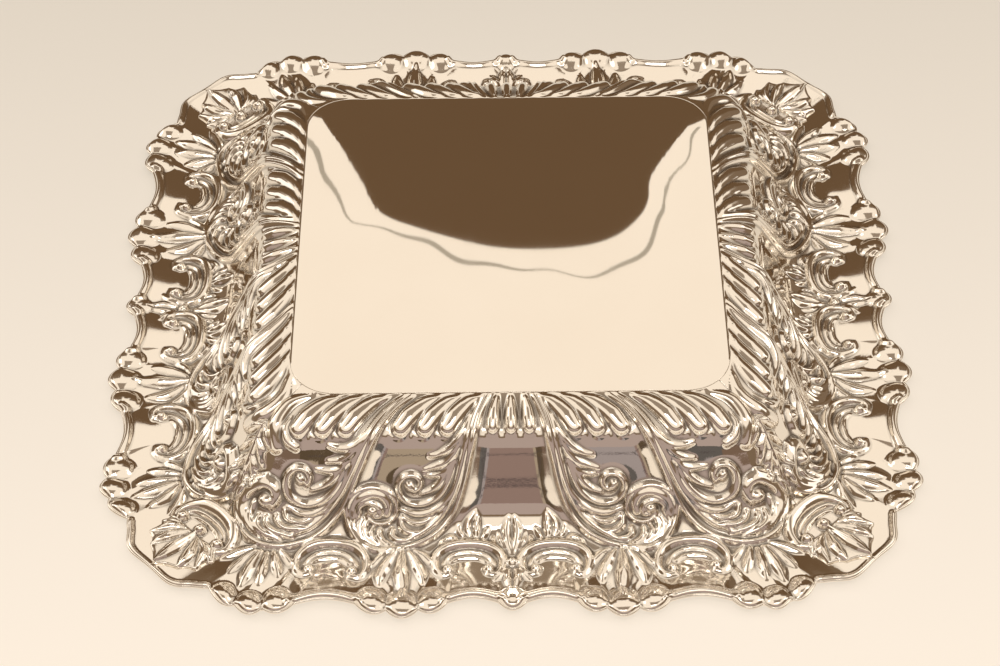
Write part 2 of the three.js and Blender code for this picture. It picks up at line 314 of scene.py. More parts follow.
class Die:
    """A map of heights over a rectangle, with a pen that leaves rounded ribs."""

    def __init__(self, a_low, a_high, l_low, l_high, step):
        self.low = np.array([a_low, l_low])
        self.step = step
        self.a = np.arange(a_low, a_high, step)
        self.l = np.arange(l_low, l_high, step)
        self.height = np.zeros((len(self.l), len(self.a)))

    def press(self, a, l, width, height):
        """One ball mark; width is its half width."""
        i = int((a - self.low[0]) / self.step)
        j = int((l - self.low[1]) / self.step)
        n = int(width / self.step) + 2
        i0, i1 = max(i - n, 0), min(i + n + 1, len(self.a))
        j0, j1 = max(j - n, 0), min(j + n + 1, len(self.l))
        if i1 <= i0 or j1 <= j0:
            return
        d2 = (self.a[i0:i1][None, :] - a) ** 2 + (self.l[j0:j1][:, None] - l) ** 2
        mark = height * np.sqrt(np.clip(1 - d2 / width**2, 0, 1))
        patch = self.height[j0:j1, i0:i1]
        np.maximum(patch, mark, out=patch)

    def stroke(self, points, widths, heights, mirror=False):
        """A rib along a smooth curve; widths and heights are shared out along it."""
        path = curve(points, STROKE_STEP)
        u = np.linspace(0, 1, len(path))
        w = np.interp(u, np.linspace(0, 1, len(widths)), widths)
        h = np.interp(u, np.linspace(0, 1, len(heights)), heights)
        for (a, l), wi, hi in zip(path, w, h):
            self.press(a, l, wi, hi)
            if mirror:
                self.press(-a, l, wi, hi)

    def cut(self, ribs, mirror=False, fatness=1.0):
        """Strokes a list of ribs, each a curve, its half widths and its heights."""
        for points, widths, heights in ribs:
            self.stroke(points, [w * fatness for w in widths], heights, mirror)

    def soften(self, width):
        """Rounds every edge, as metal does when it is struck over a die."""
        n = max(1, int(width / self.step))
        kernel = np.ones(2 * n + 1) / (2 * n + 1)

        def soft(row):
            return np.convolve(np.pad(row, n, mode="edge"), kernel, "valid")

        for _ in range(2):
            for axis in (0, 1):
                self.height = np.apply_along_axis(soft, axis, self.height)

    def softened(self, width):
        """A softer copy."""
        twin = copy.copy(self)
        twin.soften(width)
        return twin

    def sink(self, width):
        """Lowers every cell to the lowest one near it, which narrows each rib."""
        n = int(width / self.step)
        for axis in (0, 1):
            ends = [(n, n) if k == axis else (0, 0) for k in (0, 1)]
            padded = np.pad(self.height, ends, mode="edge")
            self.height = np.lib.stride_tricks.sliding_window_view(padded, 2 * n + 1, axis).min(-1)

    def read(self, a, l, heights=None):
        """Height at each point, between the cells."""
        heights = self.height if heights is None else heights
        x = np.clip((a - self.low[0]) / self.step, 0, len(self.a) - 1.001)
        y = np.clip((l - self.low[1]) / self.step, 0, len(self.l) - 1.001)
        i, j = x.astype(int), y.astype(int)
        u, v = x - i, y - j
        top = heights[j, i] * (1 - u) + heights[j, i + 1] * u
        low = heights[j + 1, i] * (1 - u) + heights[j + 1, i + 1] * u
        return top * (1 - v) + low * v


def curve(points, spacing):
    """Evenly spaced points on the smooth curve through a few points."""
    p = np.array(points, float)
    p = np.vstack([2 * p[0] - p[1], p, 2 * p[-1] - p[-2]])
    dense = []
    for i in range(1, len(p) - 2):
        t = np.linspace(0, 1, CURVE_STEPS, endpoint=False)[:, None]
        a = 2 * p[i] + (p[i + 1] - p[i - 1]) * t
        b = (2 * p[i - 1] - 5 * p[i] + 4 * p[i + 1] - p[i + 2]) * t**2
        c = (3 * p[i] - p[i - 1] - 3 * p[i + 1] + p[i + 2]) * t**3
        dense.append((a + b + c) / 2)
    dense = np.vstack(dense + [p[-2][None, :]])
    length = np.concatenate([[0], np.cumsum(np.hypot(*np.diff(dense, axis=0).T))])
    at = np.linspace(0, length[-1], max(2, int(length[-1] / spacing) + 1))
    return np.stack([np.interp(at, length, dense[:, k]) for k in range(2)], 1)


def border_die():
    """An empty die for half a side, which reaches a little past its middle and its mitre."""
    return Die(-6, 152, -12, 108, 0.2)


die = border_die()
print("die of", die.height.shape, "cells")

# %% [markdown]
# ## Gadroons
# Gadroons are the drop-shaped lobes along the shoulder. The middle ones stand upright and the
# others lean away from the middle and curl back at their round ends. Two long stems break
# through the row on each half side, so the ends are given and a loop draws each lobe.

# %% Gadroons
# (end along the side, lean from 0 for upright to 1)
GADROONS = [(0, 0), (7.1, 0.12), (24.8, 0.8), (33.6, 0.9), (43, 1), (64, 1), (73, 1), (82.2, 1)]
GADROON_END = 14.4
GADROON_PATH = [(-18.5, 0.4), (-10.8, 4.2), (-4.9, 9.0), (-0.6, GADROON_END)]  # at full lean
UPRIGHT_HALF_WIDTH = 2.5
LEANING_HALF_WIDTH = 3.8
for end, lean in GADROONS:
    fat = UPRIGHT_HALF_WIDTH if lean < 0.5 else LEANING_HALF_WIDTH
    path = [(end + back * lean, l) for back, l in GADROON_PATH]
    widths = [0.8, 0.55 * fat, 0.85 * fat, fat, fat * 0.9]
    die.stroke(path, widths, [0.6, 1.5, 2.3, 2.8, 2.5], mirror=end == 0)
    # a thin fillet runs round the outer end, half a millimetre away
    turns = np.radians(np.linspace(-30, 190, 9))
    ring = [(end + (fat + 0.5) * math.cos(q), GADROON_END + (fat + 0.5) * math.sin(q)) for q in turns]
    die.stroke(ring, [0.3, 0.55, 0.6, 0.55, 0.3], [0.1, 0.35, 0.45, 0.35, 0.1], mirror=end == 0)
BENT_LOBES = [
    # (curve, half widths, heights) of the last lobes, which bend round the corner
    ([(76.5, 0.6), (84.5, 3.5), (89.0, 9), (91.0, 15), (90.4, 21.5)],
     [0.8, 2.2, 2.8, 2.4], [0.3, 1.6, 2.2, 1.6]),
    ([(84.5, 9.5), (86.6, 13.7), (86.0, 18.6), (82.6, 21.6)],
     [0.6, 1.3, 1.7, 1.4], [0.3, 1.5, 1.9, 1.5]),
]
die.cut(BENT_LOBES)
print("gadroons on half a side:", len(GADROONS) + len(BENT_LOBES))

# %% [markdown]
# ## Scroll stems
# Each stem rises at the plate's edge, sweeps down and outwards and rolls up in a large volute,
# with a smaller curl above it and leaf tips on its upper side. Every rib is drawn as the chaser
# would draw it, from root to tip.

# %% Inner stem and volute
INNER_STEM = [
    # (curve, half widths, heights)
    ([(8.2, 0.6), (12, 9.5), (14.3, 18), (16.2, 26), (18.6, 37), (22.3, 48), (28, 56.6), (35.5, 62.2),
      (44, 65), (52.5, 65.2), (59.3, 61), (63, 54), (63.6, 46.5), (60.5, 40.2), (54.5, 37.7),
      (48.2, 39.4), (44.7, 44), (45, 50), (49.2, 53.3), (54, 52.4), (56, 49)],
     [0.7, 0.9, 1.0, 1.1, 1.1, 1.2, 1.2, 1.2, 1.1, 1.0, 0.9, 0.9],
     [0.9, 1.6, 1.8, 1.9, 2.0, 2.1, 2.2, 2.2, 2.2, 2.2, 2.0, 1.8]),
    ([(10.5, 0.6), (14.2, 9), (16.8, 18), (18.8, 27), (21.3, 37), (25.5, 47), (31.5, 54.6),
      (38.5, 59.8), (45, 61.8)],
     [0.6, 1.1, 1.5, 1.5, 1.3, 0.9], [0.8, 1.7, 2.1, 2.2, 2.0, 1.4]),
    # the fat roll of the volute and its inner turn
    ([(60.8, 52), (60.8, 46.5), (58.2, 42.2), (53.8, 40.3), (49.6, 41.7), (47.6, 45.6), (48.2, 49.4)],
     [1.4, 1.9, 2.2, 2.3, 2.1, 1.7, 1.2], [1.4, 2.1, 2.5, 2.6, 2.4, 2.1, 1.6]),
    ([(59, 49), (58.8, 46), (56, 44), (52.6, 44.3), (50.6, 46.8), (51.2, 49.8), (53.2, 50)],
     [1.0, 1.1, 1.2, 1.3, 1.2, 1.0], [1.9, 2.4, 2.8, 2.9, 2.8, 2.5]),
    ([(53.9, 47.3), (53.6, 47.6)], [2.0, 2.0], [3.3, 3.3]),
    # leaf fingers that spread inside the volute
    ([(59.3, 49.8), (61.0, 53), (60, 58.7), (55.5, 63.6)], [0.8, 1.1, 1.1, 0.7], [1.6, 1.9, 1.8, 1.2]),
    ([(57.4, 50.6), (58.9, 55), (57.6, 60), (53.8, 64)], [0.8, 1.1, 1.1, 0.7], [1.7, 2.1, 1.9, 1.2]),
    ([(55.4, 51), (56.8, 55.3), (55.6, 60), (52, 64)], [0.8, 1.0, 1.1, 0.7], [1.7, 2.1, 1.9, 1.2]),
    ([(53.3, 54.6), (54.4, 57.4), (53, 61.5), (49.6, 64.4)], [0.8, 1.0, 1.1, 0.7], [1.5, 2.0, 1.9, 1.2]),
    ([(50.9, 55.8), (51.2, 59), (48.8, 62.4), (44.5, 64)], [0.9, 1.6, 1.6, 0.8], [1.6, 2.2, 2.0, 1.2]),
    ([(46.2, 55.6), (46.4, 58.7), (43.8, 61), (39, 61)], [0.9, 1.5, 1.5, 0.8], [1.6, 2.2, 2.0, 1.2]),
    ([(43, 51), (42.4, 55), (39, 57.6), (34, 57)], [0.8, 1.4, 1.5, 0.8], [1.6, 2.1, 2.0, 1.3]),
    ([(42.4, 49.8), (39.4, 52.4), (34.7, 52.9), (30, 50)], [0.7, 1.1, 1.3, 0.8], [1.4, 1.9, 1.9, 1.2]),
    # the small curl and the ribs that feed it
    ([(21.5, 27), (24, 34.5), (26.8, 39.8), (31, 43.6), (36, 45.2), (40.6, 44.2), (43.3, 41), (43.6, 37),
      (41.6, 33.9), (38.2, 32.9), (35.6, 34.6), (35.3, 37.6), (37.4, 39.6)],
     [0.8, 1.2, 1.3, 1.3, 1.2, 1.1, 1.0, 0.9], [1.4, 2.0, 2.2, 2.3, 2.3, 2.3, 2.2, 1.9]),
    ([(38.9, 38.1), (39.6, 37.0)], [1.8, 1.6], [2.3, 2.3]),
    ([(22.5, 25), (26, 33.5), (30, 38.6), (34.6, 40.6)], [0.7, 1.2, 1.3, 0.8], [1.2, 1.9, 2.0, 1.5]),
    ([(20.3, 34), (24.2, 42), (30, 47.4), (36.5, 49.2), (42.8, 47.4)],
     [0.7, 1.3, 1.6, 1.5, 0.8], [1.2, 2.0, 2.3, 2.1, 1.2]),
    # leaf tips on the upper side
    ([(15.6, 9), (18.6, 16), (23, 21.6), (27.4, 24.6), (31.6, 25.6)],
     [0.6, 1.1, 1.4, 1.3, 0.5], [1.0, 1.8, 2.0, 1.8, 1.0]),
    ([(18.6, 18.5), (22.4, 24.6), (27, 28.8), (33.8, 31.4)], [0.7, 1.3, 1.5, 0.5], [1.2, 2.0, 2.0, 1.0]),
    ([(20.5, 24), (24.5, 30), (29, 33.2), (33.4, 33)], [0.6, 1.0, 1.2, 0.6], [1.0, 1.6, 1.7, 1.1]),
]
STEM_FATNESS = 1.12  # how much wider the ribs are struck than they are drawn
die.cut(INNER_STEM, fatness=STEM_FATNESS)
print("inner stem:", len(INNER_STEM), "ribs")

# %% Outer stem and volute
OUTER_STEM = [
    ([(37, 0.6), (44, 6.5), (49.7, 13.7), (54.3, 21), (58.2, 30), (62, 39), (66.2, 47.6), (72, 55.4),
      (79, 60.4), (87, 62.8), (95, 62.6), (102, 58.8), (106, 52), (106.6, 45), (104, 38.6),
      (99, 34.2), (94.2, 33)],
     [0.7, 0.9, 1.0, 1.1, 1.1, 1.2, 1.2, 1.2, 1.1, 1.0, 0.9],
     [0.9, 1.6, 1.8, 1.9, 2.0, 2.1, 2.2, 2.2, 2.2, 2.2, 2.0]),
    ([(40, 0.6), (47, 6.5), (53, 14), (57.6, 22), (61.6, 31), (66.5, 41), (72.2, 48.8), (78.5, 54.6),
      (85, 57.4)],
     [0.6, 1.1, 1.5, 1.5, 1.3, 0.9], [0.8, 1.7, 2.1, 2.2, 2.0, 1.4]),
    ([(103.6, 53), (104.3, 46.5), (102.6, 40.6), (98.6, 36.8), (94.2, 35.6), (91, 38), (90.6, 42.4),
      (92.6, 45.8)],
     [1.6, 2.1, 2.4, 2.5, 2.3, 1.9, 1.3], [1.6, 2.3, 2.7, 2.8, 2.6, 2.2, 1.7]),
    ([(94.4, 42.6), (94.2, 43.2)], [2.6, 2.6], [3.5, 3.5]),
    ([(101.5, 43.5), (102.4, 48.3), (101.6, 54), (97.4, 59.4)], [0.8, 1.1, 1.2, 0.7], [1.6, 2.0, 1.9, 1.2]),
    ([(99, 43.5), (100.3, 48.6), (99.8, 53.6), (94.6, 59.8)], [0.8, 1.1, 1.2, 0.7], [1.7, 2.1, 2.0, 1.2]),
    ([(97.4, 49.6), (98.2, 53.3), (95.8, 57), (89.4, 60.2)], [0.8, 1.5, 1.6, 0.8], [1.6, 2.2, 2.1, 1.2]),
    ([(94.6, 50), (94.6, 53.3), (91.6, 56.4), (84.6, 58.8)], [0.8, 1.4, 1.5, 0.8], [1.6, 2.2, 2.1, 1.2]),
    ([(90.6, 49.6), (89.8, 52.8), (86.4, 55), (79.2, 54.6)], [0.8, 1.3, 1.5, 0.8], [1.5, 2.1, 2.1, 1.3]),
    ([(87.6, 46.8), (86.6, 50.6), (82, 52.2), (75, 50)], [0.7, 1.2, 1.4, 0.8], [1.4, 2.0, 2.0, 1.3]),
    ([(62.8, 26.5), (65.6, 34), (69.6, 39.8), (74.6, 43.6), (80, 44.6), (84.6, 42.4), (86.6, 38), (86, 33),
      (83, 29.8), (79.6, 30.2), (77.8, 33), (78.6, 36.2)],
     [0.8, 1.2, 1.4, 1.6, 1.7, 1.5, 1.2, 1.0], [1.4, 2.0, 2.3, 2.5, 2.6, 2.5, 2.3, 2.0]),
    ([(81.0, 34.4), (81.4, 33.4)], [1.8, 1.6], [2.4, 2.4]),
    ([(62, 23), (66.6, 31.4), (71.6, 36.4), (77, 38.6)], [0.7, 1.2, 1.4, 0.8], [1.2, 1.9, 2.1, 1.6]),
    ([(63, 33), (68.4, 42), (75, 47.6), (81, 48.6), (86.4, 45.6)],
     [0.7, 1.2, 1.5, 1.4, 0.8], [1.2, 2.0, 2.2, 2.1, 1.2]),
    ([(50, 9), (54.6, 16), (60, 20.6), (65.4, 22), (70.2, 20.8)],
     [0.6, 1.1, 1.4, 1.3, 0.5], [1.0, 1.7, 1.9, 1.8, 1.0]),
    ([(54.5, 15.5), (60, 22.4), (65.6, 26.4), (70.6, 27.4)], [0.7, 1.2, 1.4, 0.6], [1.2, 1.9, 2.0, 1.1]),
    ([(57.6, 20.5), (63, 27.4), (68.6, 31), (75.4, 30.6)], [0.7, 1.2, 1.4, 0.5], [1.1, 1.8, 1.9, 1.0]),
]
die.cut(OUTER_STEM, fatness=STEM_FATNESS)
print("outer stem:", len(OUTER_STEM), "ribs")

# %% [markdown]
# ## Flange ornament
# Below the wall lie the palmette, two C-scrolls on each half side and a spray of leaf under each
# volute. A C-scroll is one fat rib and two thin ones inside it, and its ends roll into balls.

# %% C-scrolls
C_SCROLLS = [
    # outer rib from ball to ball, inner ribs, balls
    ([(9.6, 77.2), (6.4, 77.6), (3.9, 74.6), (3.4, 69.6), (5.8, 65.2), (10.4, 62.9), (16.7, 62.2),
      (23, 62.9), (27.6, 65.4), (29.8, 69.6), (29.2, 74.6), (26.8, 77.6), (24, 77.2)],
     [[(7, 72.2), (8.8, 68.3), (12.2, 66.4), (16.7, 65.9), (21.2, 66.4), (24.6, 68.3), (26.4, 72.2)],
      [(9.8, 70.6), (12.6, 68.9), (16.7, 68.3), (20.8, 68.9), (23.6, 70.6)]],
     [(8.9, 74.9), (24.8, 74.9)]),
    ([(62.4, 77.8), (58.6, 78.2), (56.2, 74.6), (56.1, 69.4), (59, 64.6), (64, 61.9), (70, 61.1),
      (76, 62.1), (80.6, 65), (83, 69.2), (82.8, 73.6), (80.4, 76.4), (77.4, 76.2)],
     [[(60, 72.4), (61.8, 68.2), (65.4, 65.7), (70, 65), (74.6, 65.8), (78, 68), (79.8, 71)],
      [(62.8, 71), (65.6, 68.7), (70, 67.8), (74.2, 68.5), (76.8, 70)]],
     [(61.3, 75.2), (78.2, 73.9)]),
]
RIB_WIDTHS = [1.0, 1.3, 1.9, 2.3, 2.4, 2.3, 1.9, 1.3, 1.0]
RIB_HEIGHTS = [1.2, 1.7, 2.3, 2.6, 2.7, 2.6, 2.3, 1.7, 1.2]
BALL_RADIUS = 2.1
BALL_HEIGHT = 2.7
for rib, inner, balls in C_SCROLLS:
    die.stroke(rib, RIB_WIDTHS, RIB_HEIGHTS)
    for k, thin in enumerate(inner):
        die.stroke(thin, [0.6, 1.0 - 0.2 * k, 0.6], [0.9, 1.7 - 0.3 * k, 0.9])
    for a, l in balls:
        die.press(a, l, BALL_RADIUS, BALL_HEIGHT)
print("C-scrolls on half a side:", len(C_SCROLLS))

# %% Palmette in the middle of the side
PALMETTE = [
    # (curve, half widths, heights)
    ([(1.0, 50.6), (2.0, 56), (1.6, 61), (0.4, 66.4)], [0.3, 1.7, 1.6, 0.4], [0.5, 1.7, 1.8, 0.8]),
    ([(5.0, 57), (4.6, 60.4), (2.6, 64.6)], [0.4, 1.2, 0.6], [0.5, 1.5, 0.9]),
    ([(13.3, 47.6), (16.6, 52.6), (17.0, 57), (14.6, 60.8)], [0.3, 1.3, 1.5, 0.7], [0.5, 1.6, 1.8, 1.0]),
    ([(13.1, 48.6), (13.6, 53.4), (13.9, 57.6), (13.6, 60.8)], [0.3, 1.4, 1.6, 0.7], [0.5, 1.9, 2.2, 1.0]),
    ([(9.0, 55.2), (10.4, 57.6), (12, 60.6)], [0.4, 1.2, 0.8], [0.5, 1.5, 1.0]),
    ([(20.4, 54.2), (19.8, 57.6), (16.8, 60.6)], [0.4, 1.3, 0.8], [0.5, 1.5, 1.0]),
    ([(7.4, 59.4), (6.8, 62), (4.6, 66.2)], [0.8, 1.1, 0.6], [1.2, 1.5, 0.8]),
    ([(28, 63.6), (26.6, 61), (23.8, 59.4), (21.4, 60.2), (22.6, 61.8)],
     [0.5, 1.0, 1.2, 0.9], [0.8, 1.4, 1.6, 1.2]),
    ([(1.3, 74.6), (1.8, 80), (0.8, 86.8)], [0.6, 1.6, 0.4], [1.0, 1.7, 0.6]),
    ([(2.0, 75), (4.6, 78.6), (7.0, 80.4)], [0.6, 1.4, 0.5], [0.9, 1.5, 0.7]),
    ([(2.8, 67.5), (2.6, 72), (4.2, 78)], [0.5, 0.8, 0.5], [0.7, 1.1, 0.6]),
]
die.cut(PALMETTE, mirror=True)
PALMETTE_BALL = (0, 71.4, 2.3, 2.6)
die.press(*PALMETTE_BALL)
print("palmette ribs on half a side:", len(PALMETTE))

# %% Leaf sprays under the volutes
def cut_lobes(on, lobes, mirror=False):
    """Pointed lobes of a leaf, cut on a die, each with a raised vein along its middle."""
    for points, width, height in lobes:
        widths = [k * width for k in (0.4, 0.8, 1, 0.75, 0.12)]
        heights = [k * height for k in (0.7, 0.95, 1, 0.85, 0.35)]
        on.stroke(points, widths, heights, mirror)
        vein = [k * width for k in (0.2, 0.22, 0.1)], [k * height for k in (1.1, 1.4, 0.5)]
        on.stroke(points, *vein, mirror)


SPRAYS = [
    # (curve from root to tip, half width, height)
    ([(42.2, 66), (42.6, 74), (42.2, 82), (41.6, 90)], 3.0, 2.0),
    ([(44.6, 66.4), (48.2, 72), (50.2, 77), (50.8, 82.6)], 2.5, 1.8),
    ([(46.4, 65.6), (51, 68.6), (54.6, 73.6)], 1.9, 1.5),
    ([(39.8, 66.4), (36.8, 72), (35.0, 77), (34.2, 82)], 2.5, 1.8),
    ([(37.8, 65.6), (33.4, 68.6), (30.6, 73.0)], 1.9, 1.5),
    ([(99.0, 63.2), (105.5, 64.6), (112.2, 67.4)], 1.9, 1.5),
    ([(98.2, 65), (103.6, 69.2), (109, 75.0)], 2.3, 1.8),
    ([(96.6, 65.4), (100.2, 73), (103.6, 82.4)], 2.7, 2.0),
    ([(94.2, 66), (95.6, 74), (96.8, 82)], 2.2, 1.8),
    ([(91.8, 65.6), (90.6, 72), (89.4, 78)], 2.2, 1.7),
    ([(89.2, 64.8), (86.6, 68.4), (84.4, 72.4)], 1.7, 1.4),
]
cut_lobes(die, SPRAYS)
print("leaf lobes on half a side:", len(SPRAYS))

# %% [markdown]
# ## Beads and coves at the edge
# Each outward scallop is a bead: a low dome whose outer end is the edge itself, drawn out a
# little up the flange. Along each inward scallop, and round the corner, the edge is rolled, and
# the roll ends in small balls.

# %% Beads and coves
BEAD_HEIGHT = 2.3
BEAD_SOFTNESS = 0.8
ROLL_HALF_WIDTH = 2.0
ROLL_HEIGHT = 1.2
ROLL_OVERLAP = 1.5  # how far a roll runs into the beads beside it
ROLL_BALL = (1.9, 1.5)  # radius and height
BALL_IN_FROM_RIM = 2.6
BALL_IN_FROM_END = 1.2
PAST_MITRE = 200.0
bead_marks = [(0.0, RIM_HALF + CENTRE_BULGE, CENTRE_BEAD * scallop_unit)]
rolled = []  # stretches of the edge, by their places along the side
position = CENTRE_BEAD * scallop_unit
end_before = 0.0
for share, bulge, end in SCALLOPS:
    width = share * scallop_unit
    if bulge > 0:
        bead_marks.append((position + width / 2, RIM_HALF + (end_before + end) / 2 + bulge, width / 2))
    else:
        rolled.append((position - ROLL_OVERLAP, position + width + ROLL_OVERLAP))
    position += width
    end_before = end
rolled.append((position + ROLL_OVERLAP, PAST_MITRE))

# three marks for each bead, each one smaller, lower and further up the flange than the last
beads = border_die()
for a, out, radius in bead_marks:
    for k in range(3):
        centre_l = float(l_at_run(out - PLATEAU_HALF - radius * 0.85 - 1.0 * k))
        beads.press(a, centre_l, radius * (1 - 0.06 * k), BEAD_HEIGHT * (1 - 0.1 * k))
beads.soften(BEAD_SOFTNESS)
for a, b in edge:
    if any(low < a < high for low, high in rolled):
        roll_l = float(l_at_run(b - PLATEAU_HALF - ROLL_HALF_WIDTH))
        die.press(a, roll_l, ROLL_HALF_WIDTH, ROLL_HEIGHT)
ball_l = float(l_at_run(RIM_RUN - BALL_IN_FROM_RIM))
for low, high in rolled[:-1]:
    for a in (low + BALL_IN_FROM_END, high - BALL_IN_FROM_END):
        die.press(a, ball_l, *ROLL_BALL)
print("beads on half a side:", len(bead_marks), "rolled stretches:", len(rolled))

# %% [markdown]
# ## The body under the ribs
# The ribs of a stem stand on a soft swelling. It is cut on a die of its own, which is softened
# much more than the ribs before the two are added. At the end two maps are kept for the finish:
# how deep each place lies in a valley, and how much ornament there is at it.

# %% The soft body under the ribs
BODY = [
    # (curve, half widths, heights)
    ([(10, 3), (15, 16), (19, 30), (25, 44), (34, 55), (44, 60)],
     [2.5, 4, 6, 9, 9, 8], [0.6, 1.2, 1.6, 2.0, 2.0, 1.6]),
    ([(54, 50), (54.4, 52)], [12, 12], [2.2, 2.2]),
    ([(39, 38), (38, 39)], [6.5, 6.5], [1.5, 1.5]),
    ([(40, 3), (50, 12), (58, 24), (65, 37), (73, 49), (84, 56)],
     [2.5, 4, 6, 8, 9, 8], [0.6, 1.2, 1.6, 2.0, 2.0, 1.6]),
    ([(96, 46), (96.4, 50)], [12, 12], [2.4, 2.4]),
    ([(81, 36), (80, 38)], [6.5, 6.5], [1.6, 1.6]),
    ([(42, 68), (43, 78)], [8, 5], [1.2, 0.8]),
    ([(95, 66), (98, 76)], [9, 6], [1.2, 0.8]),
    # low domes between the C-scrolls and the coves
    ([(14, 85), (16, 85)], [11, 11], [0.7, 0.7]),
    ([(70.5, 85), (72.5, 85)], [11, 11], [0.7, 0.7]),
]
SWELL_SOFTNESS = 2.4
RIB_SOFTNESS = 0.4
RIB_DEPTH = 1.05  # makes up for what softening takes off the ribs
MAP_SOFTNESS = 1.3
swell = border_die()
swell.cut(BODY)
swell.soften(SWELL_SOFTNESS)
die.soften(RIB_SOFTNESS)
die.height = die.height * RIB_DEPTH + swell.height + beads.height

blurred = die.softened(MAP_SOFTNESS)
# the recess map darkens the valleys with oxide and painted shade; the relief map only changes roughness
recess_map = np.clip((blurred.height - die.height - 0.03) * 2.0, 0, 1)  # 1 is half a millimetre deep
relief_map = np.clip(blurred.height / 0.8, 0, 1)
print("relief up to", round(die.height.max(), 2), "mm")

# %% [markdown]
# ## Pressing the border
# A border is the section carried along its side as a grid of quads, with the die's height added
# along the surface normal. The die is struck in one direction, downwards and inwards, so all
# points on one line of that direction take the same height. This carries the volutes round the
# corners without bending them. The back of the sheet follows the front more softly, and a
# coarser grid is enough for it.

# %% Surface of the border
STRIKE_OUT = 0.725  # the striking direction's outward and upward parts
STRIKE_UP = 0.688
FLANGE_FROM = 58.0  # l where rows start to bend towards the scallops
WIRE_WIDTH = 1.1  # of the rim wire, which covers the border's raw edge


def ramp(x, low, high):
    """Rises smoothly from 0 at low to 1 at high."""
    t = np.clip((x - low) / (high - low), 0, 1)
    return t * t * (3 - 2 * t)


strike_l = np.arange(-8.0, section_l[-1], 0.1)
strike_key = STRIKE_OUT * (PLATEAU_HALF + run_at(strike_l)) - STRIKE_UP * z_at(strike_l)


def die_place(a, b, z):
    """Where on the die a point of the plain surface is struck."""
    return np.abs(a), np.interp(STRIKE_OUT * b - STRIKE_UP * z, strike_key, strike_l)


def plain_border(l, t):
    """Plain surface before striking: position and normal, in the side's own frame."""
    a, b, turn_a, turn_b = plan(run_at(l), t)
    follow = ramp(l, FLANGE_FROM, RIM_L)
    inset = 1 - WIRE_WIDTH * 0.5 / RIM_HALF * follow
    a = (a + np.sign(t) * follow * np.interp(np.abs(t), edge_t, edge_out[:, 0])) * inset
    b = (b + follow * np.interp(np.abs(t), edge_t, edge_out[:, 1])) * inset
    out, up = face_at(l)
    return np.stack([a, b, z_at(l)], -1), np.stack([turn_a * out, turn_b * out, up], -1)


def struck_border(l, t, heights=None, share=1.0, offset=0.0):
    """The plain surface with the die's height on it, and the finish's marks at each point."""
    point, normal = plain_border(l, t)
    a, place_l = die_place(point[..., 0], point[..., 1], point[..., 2])
    # the relief dies away at the plate's edge and, for the most part, under the rim wire
    fade = ramp(l, -0.3, 2.6) * (1 - 0.75 * ramp(l, RIM_L - 0.8, RIM_L))
    shallow = 1 - 0.2 * face_at(l)[0] ** 2  # a steep wall can't be struck as deep
    lift = die.read(a, place_l, heights) * fade * shallow * share + offset
    marks = {
        "recess": die.read(a, place_l, recess_map) * fade,
        "relief": die.read(a, place_l, relief_map),
    }
    return point + normal * lift[..., None], marks


middle_point, _ = struck_border(np.array([RIM_L]), np.array([0.0]))
print("middle of the front edge, mm:", middle_point.round(2).tolist())


# %% [markdown]
# ## A sheet as a closed mesh
# Every sheet here is a fine front, a coarser back, and strips that close its four edges. A strip's
# faces have several front points and two back points. The marks for the finish are written to the
# front points as attributes, which a material can read.

# %% Closed sheets
def quads(numbers):
    """Faces between neighbours of a grid of point numbers."""
    ring = [numbers[:-1, :-1], numbers[1:, :-1], numbers[1:, 1:], numbers[:-1, 1:]]
    return np.stack(ring, -1).reshape(-1, 4)


def closed_sheet(name, front, back, marks=None):
    """Mesh in metres from two grids of points in millimetres. The back may have fewer points."""
    front_at = np.arange(front[..., 0].size).reshape(front.shape[:2])
    back_at = front_at.size + np.arange(back[..., 0].size).reshape(back.shape[:2])
    top = quads(front_at).tolist()
    under = quads(back_at)[:, ::-1].tolist()
    strips = []
    for fine, coarse, turn in (
        (front_at[0], back_at[0], False), (front_at[-1], back_at[-1], True),
        (front_at[:, 0], back_at[:, 0], True), (front_at[:, -1], back_at[:, -1], False),
    ):
        step = (len(fine) - 1) // (len(coarse) - 1)
        for k in range(len(coarse) - 1):
            face = fine[k * step:(k + 1) * step + 1].tolist() + [int(coarse[k + 1]), int(coarse[k])]
            strips.append(face[::-1] if turn else face)
    faces = top + under + strips
    points = np.concatenate([front.reshape(-1, 3), back.reshape(-1, 3)]) * MM
    mesh = bpy.data.meshes.new(name)
    mesh.from_pydata(points.tolist(), [], faces)
    smooth = np.arange(len(faces)) < len(top) + len(under)
    mesh.polygons.foreach_set("use_smooth", smooth)
    for mark, amounts in (marks or {}).items():
        value = np.zeros(len(points), np.float32)
        value[:amounts.size] = amounts.ravel()
        mesh.attributes.new(mark, "FLOAT", "POINT").data.foreach_set("value", value)
    mesh.update()
    return placed(name, mesh)


def placed(name, mesh):
    """An object for a mesh, at the origin."""
    piece = bpy.data.objects.new(name, mesh)
    bpy.context.scene.collection.objects.link(piece)
    return piece


# %% Measuring, turning and finishing
def volume(piece):
    """Enclosed volume in cubic centimetres, which is negative if the faces point inwards."""
    mesh = piece.data
    mesh.calc_loop_triangles()
    tri = np.empty(len(mesh.loop_triangles) * 3, np.int64)
    mesh.loop_triangles.foreach_get("vertices", tri)
    co = np.empty(len(mesh.vertices) * 3)
    mesh.vertices.foreach_get("co", co)
    a, b, c = (co.reshape(-1, 3)[tri.reshape(-1, 3)[:, k]] for k in range(3))
    return float(np.einsum("ij,ij->i", a, np.cross(b, c)).sum() / 6 * 1e6)


def turned(points, quarter):
    """Points of the front side, whose frame is (along, outward, up), turned to another side."""
    a, b, z = points[..., 0], points[..., 1], points[..., 2]
    x, y = [(a, -b), (b, a), (-a, b), (-b, -a)][quarter]
    return np.stack([x, y, z], -1)


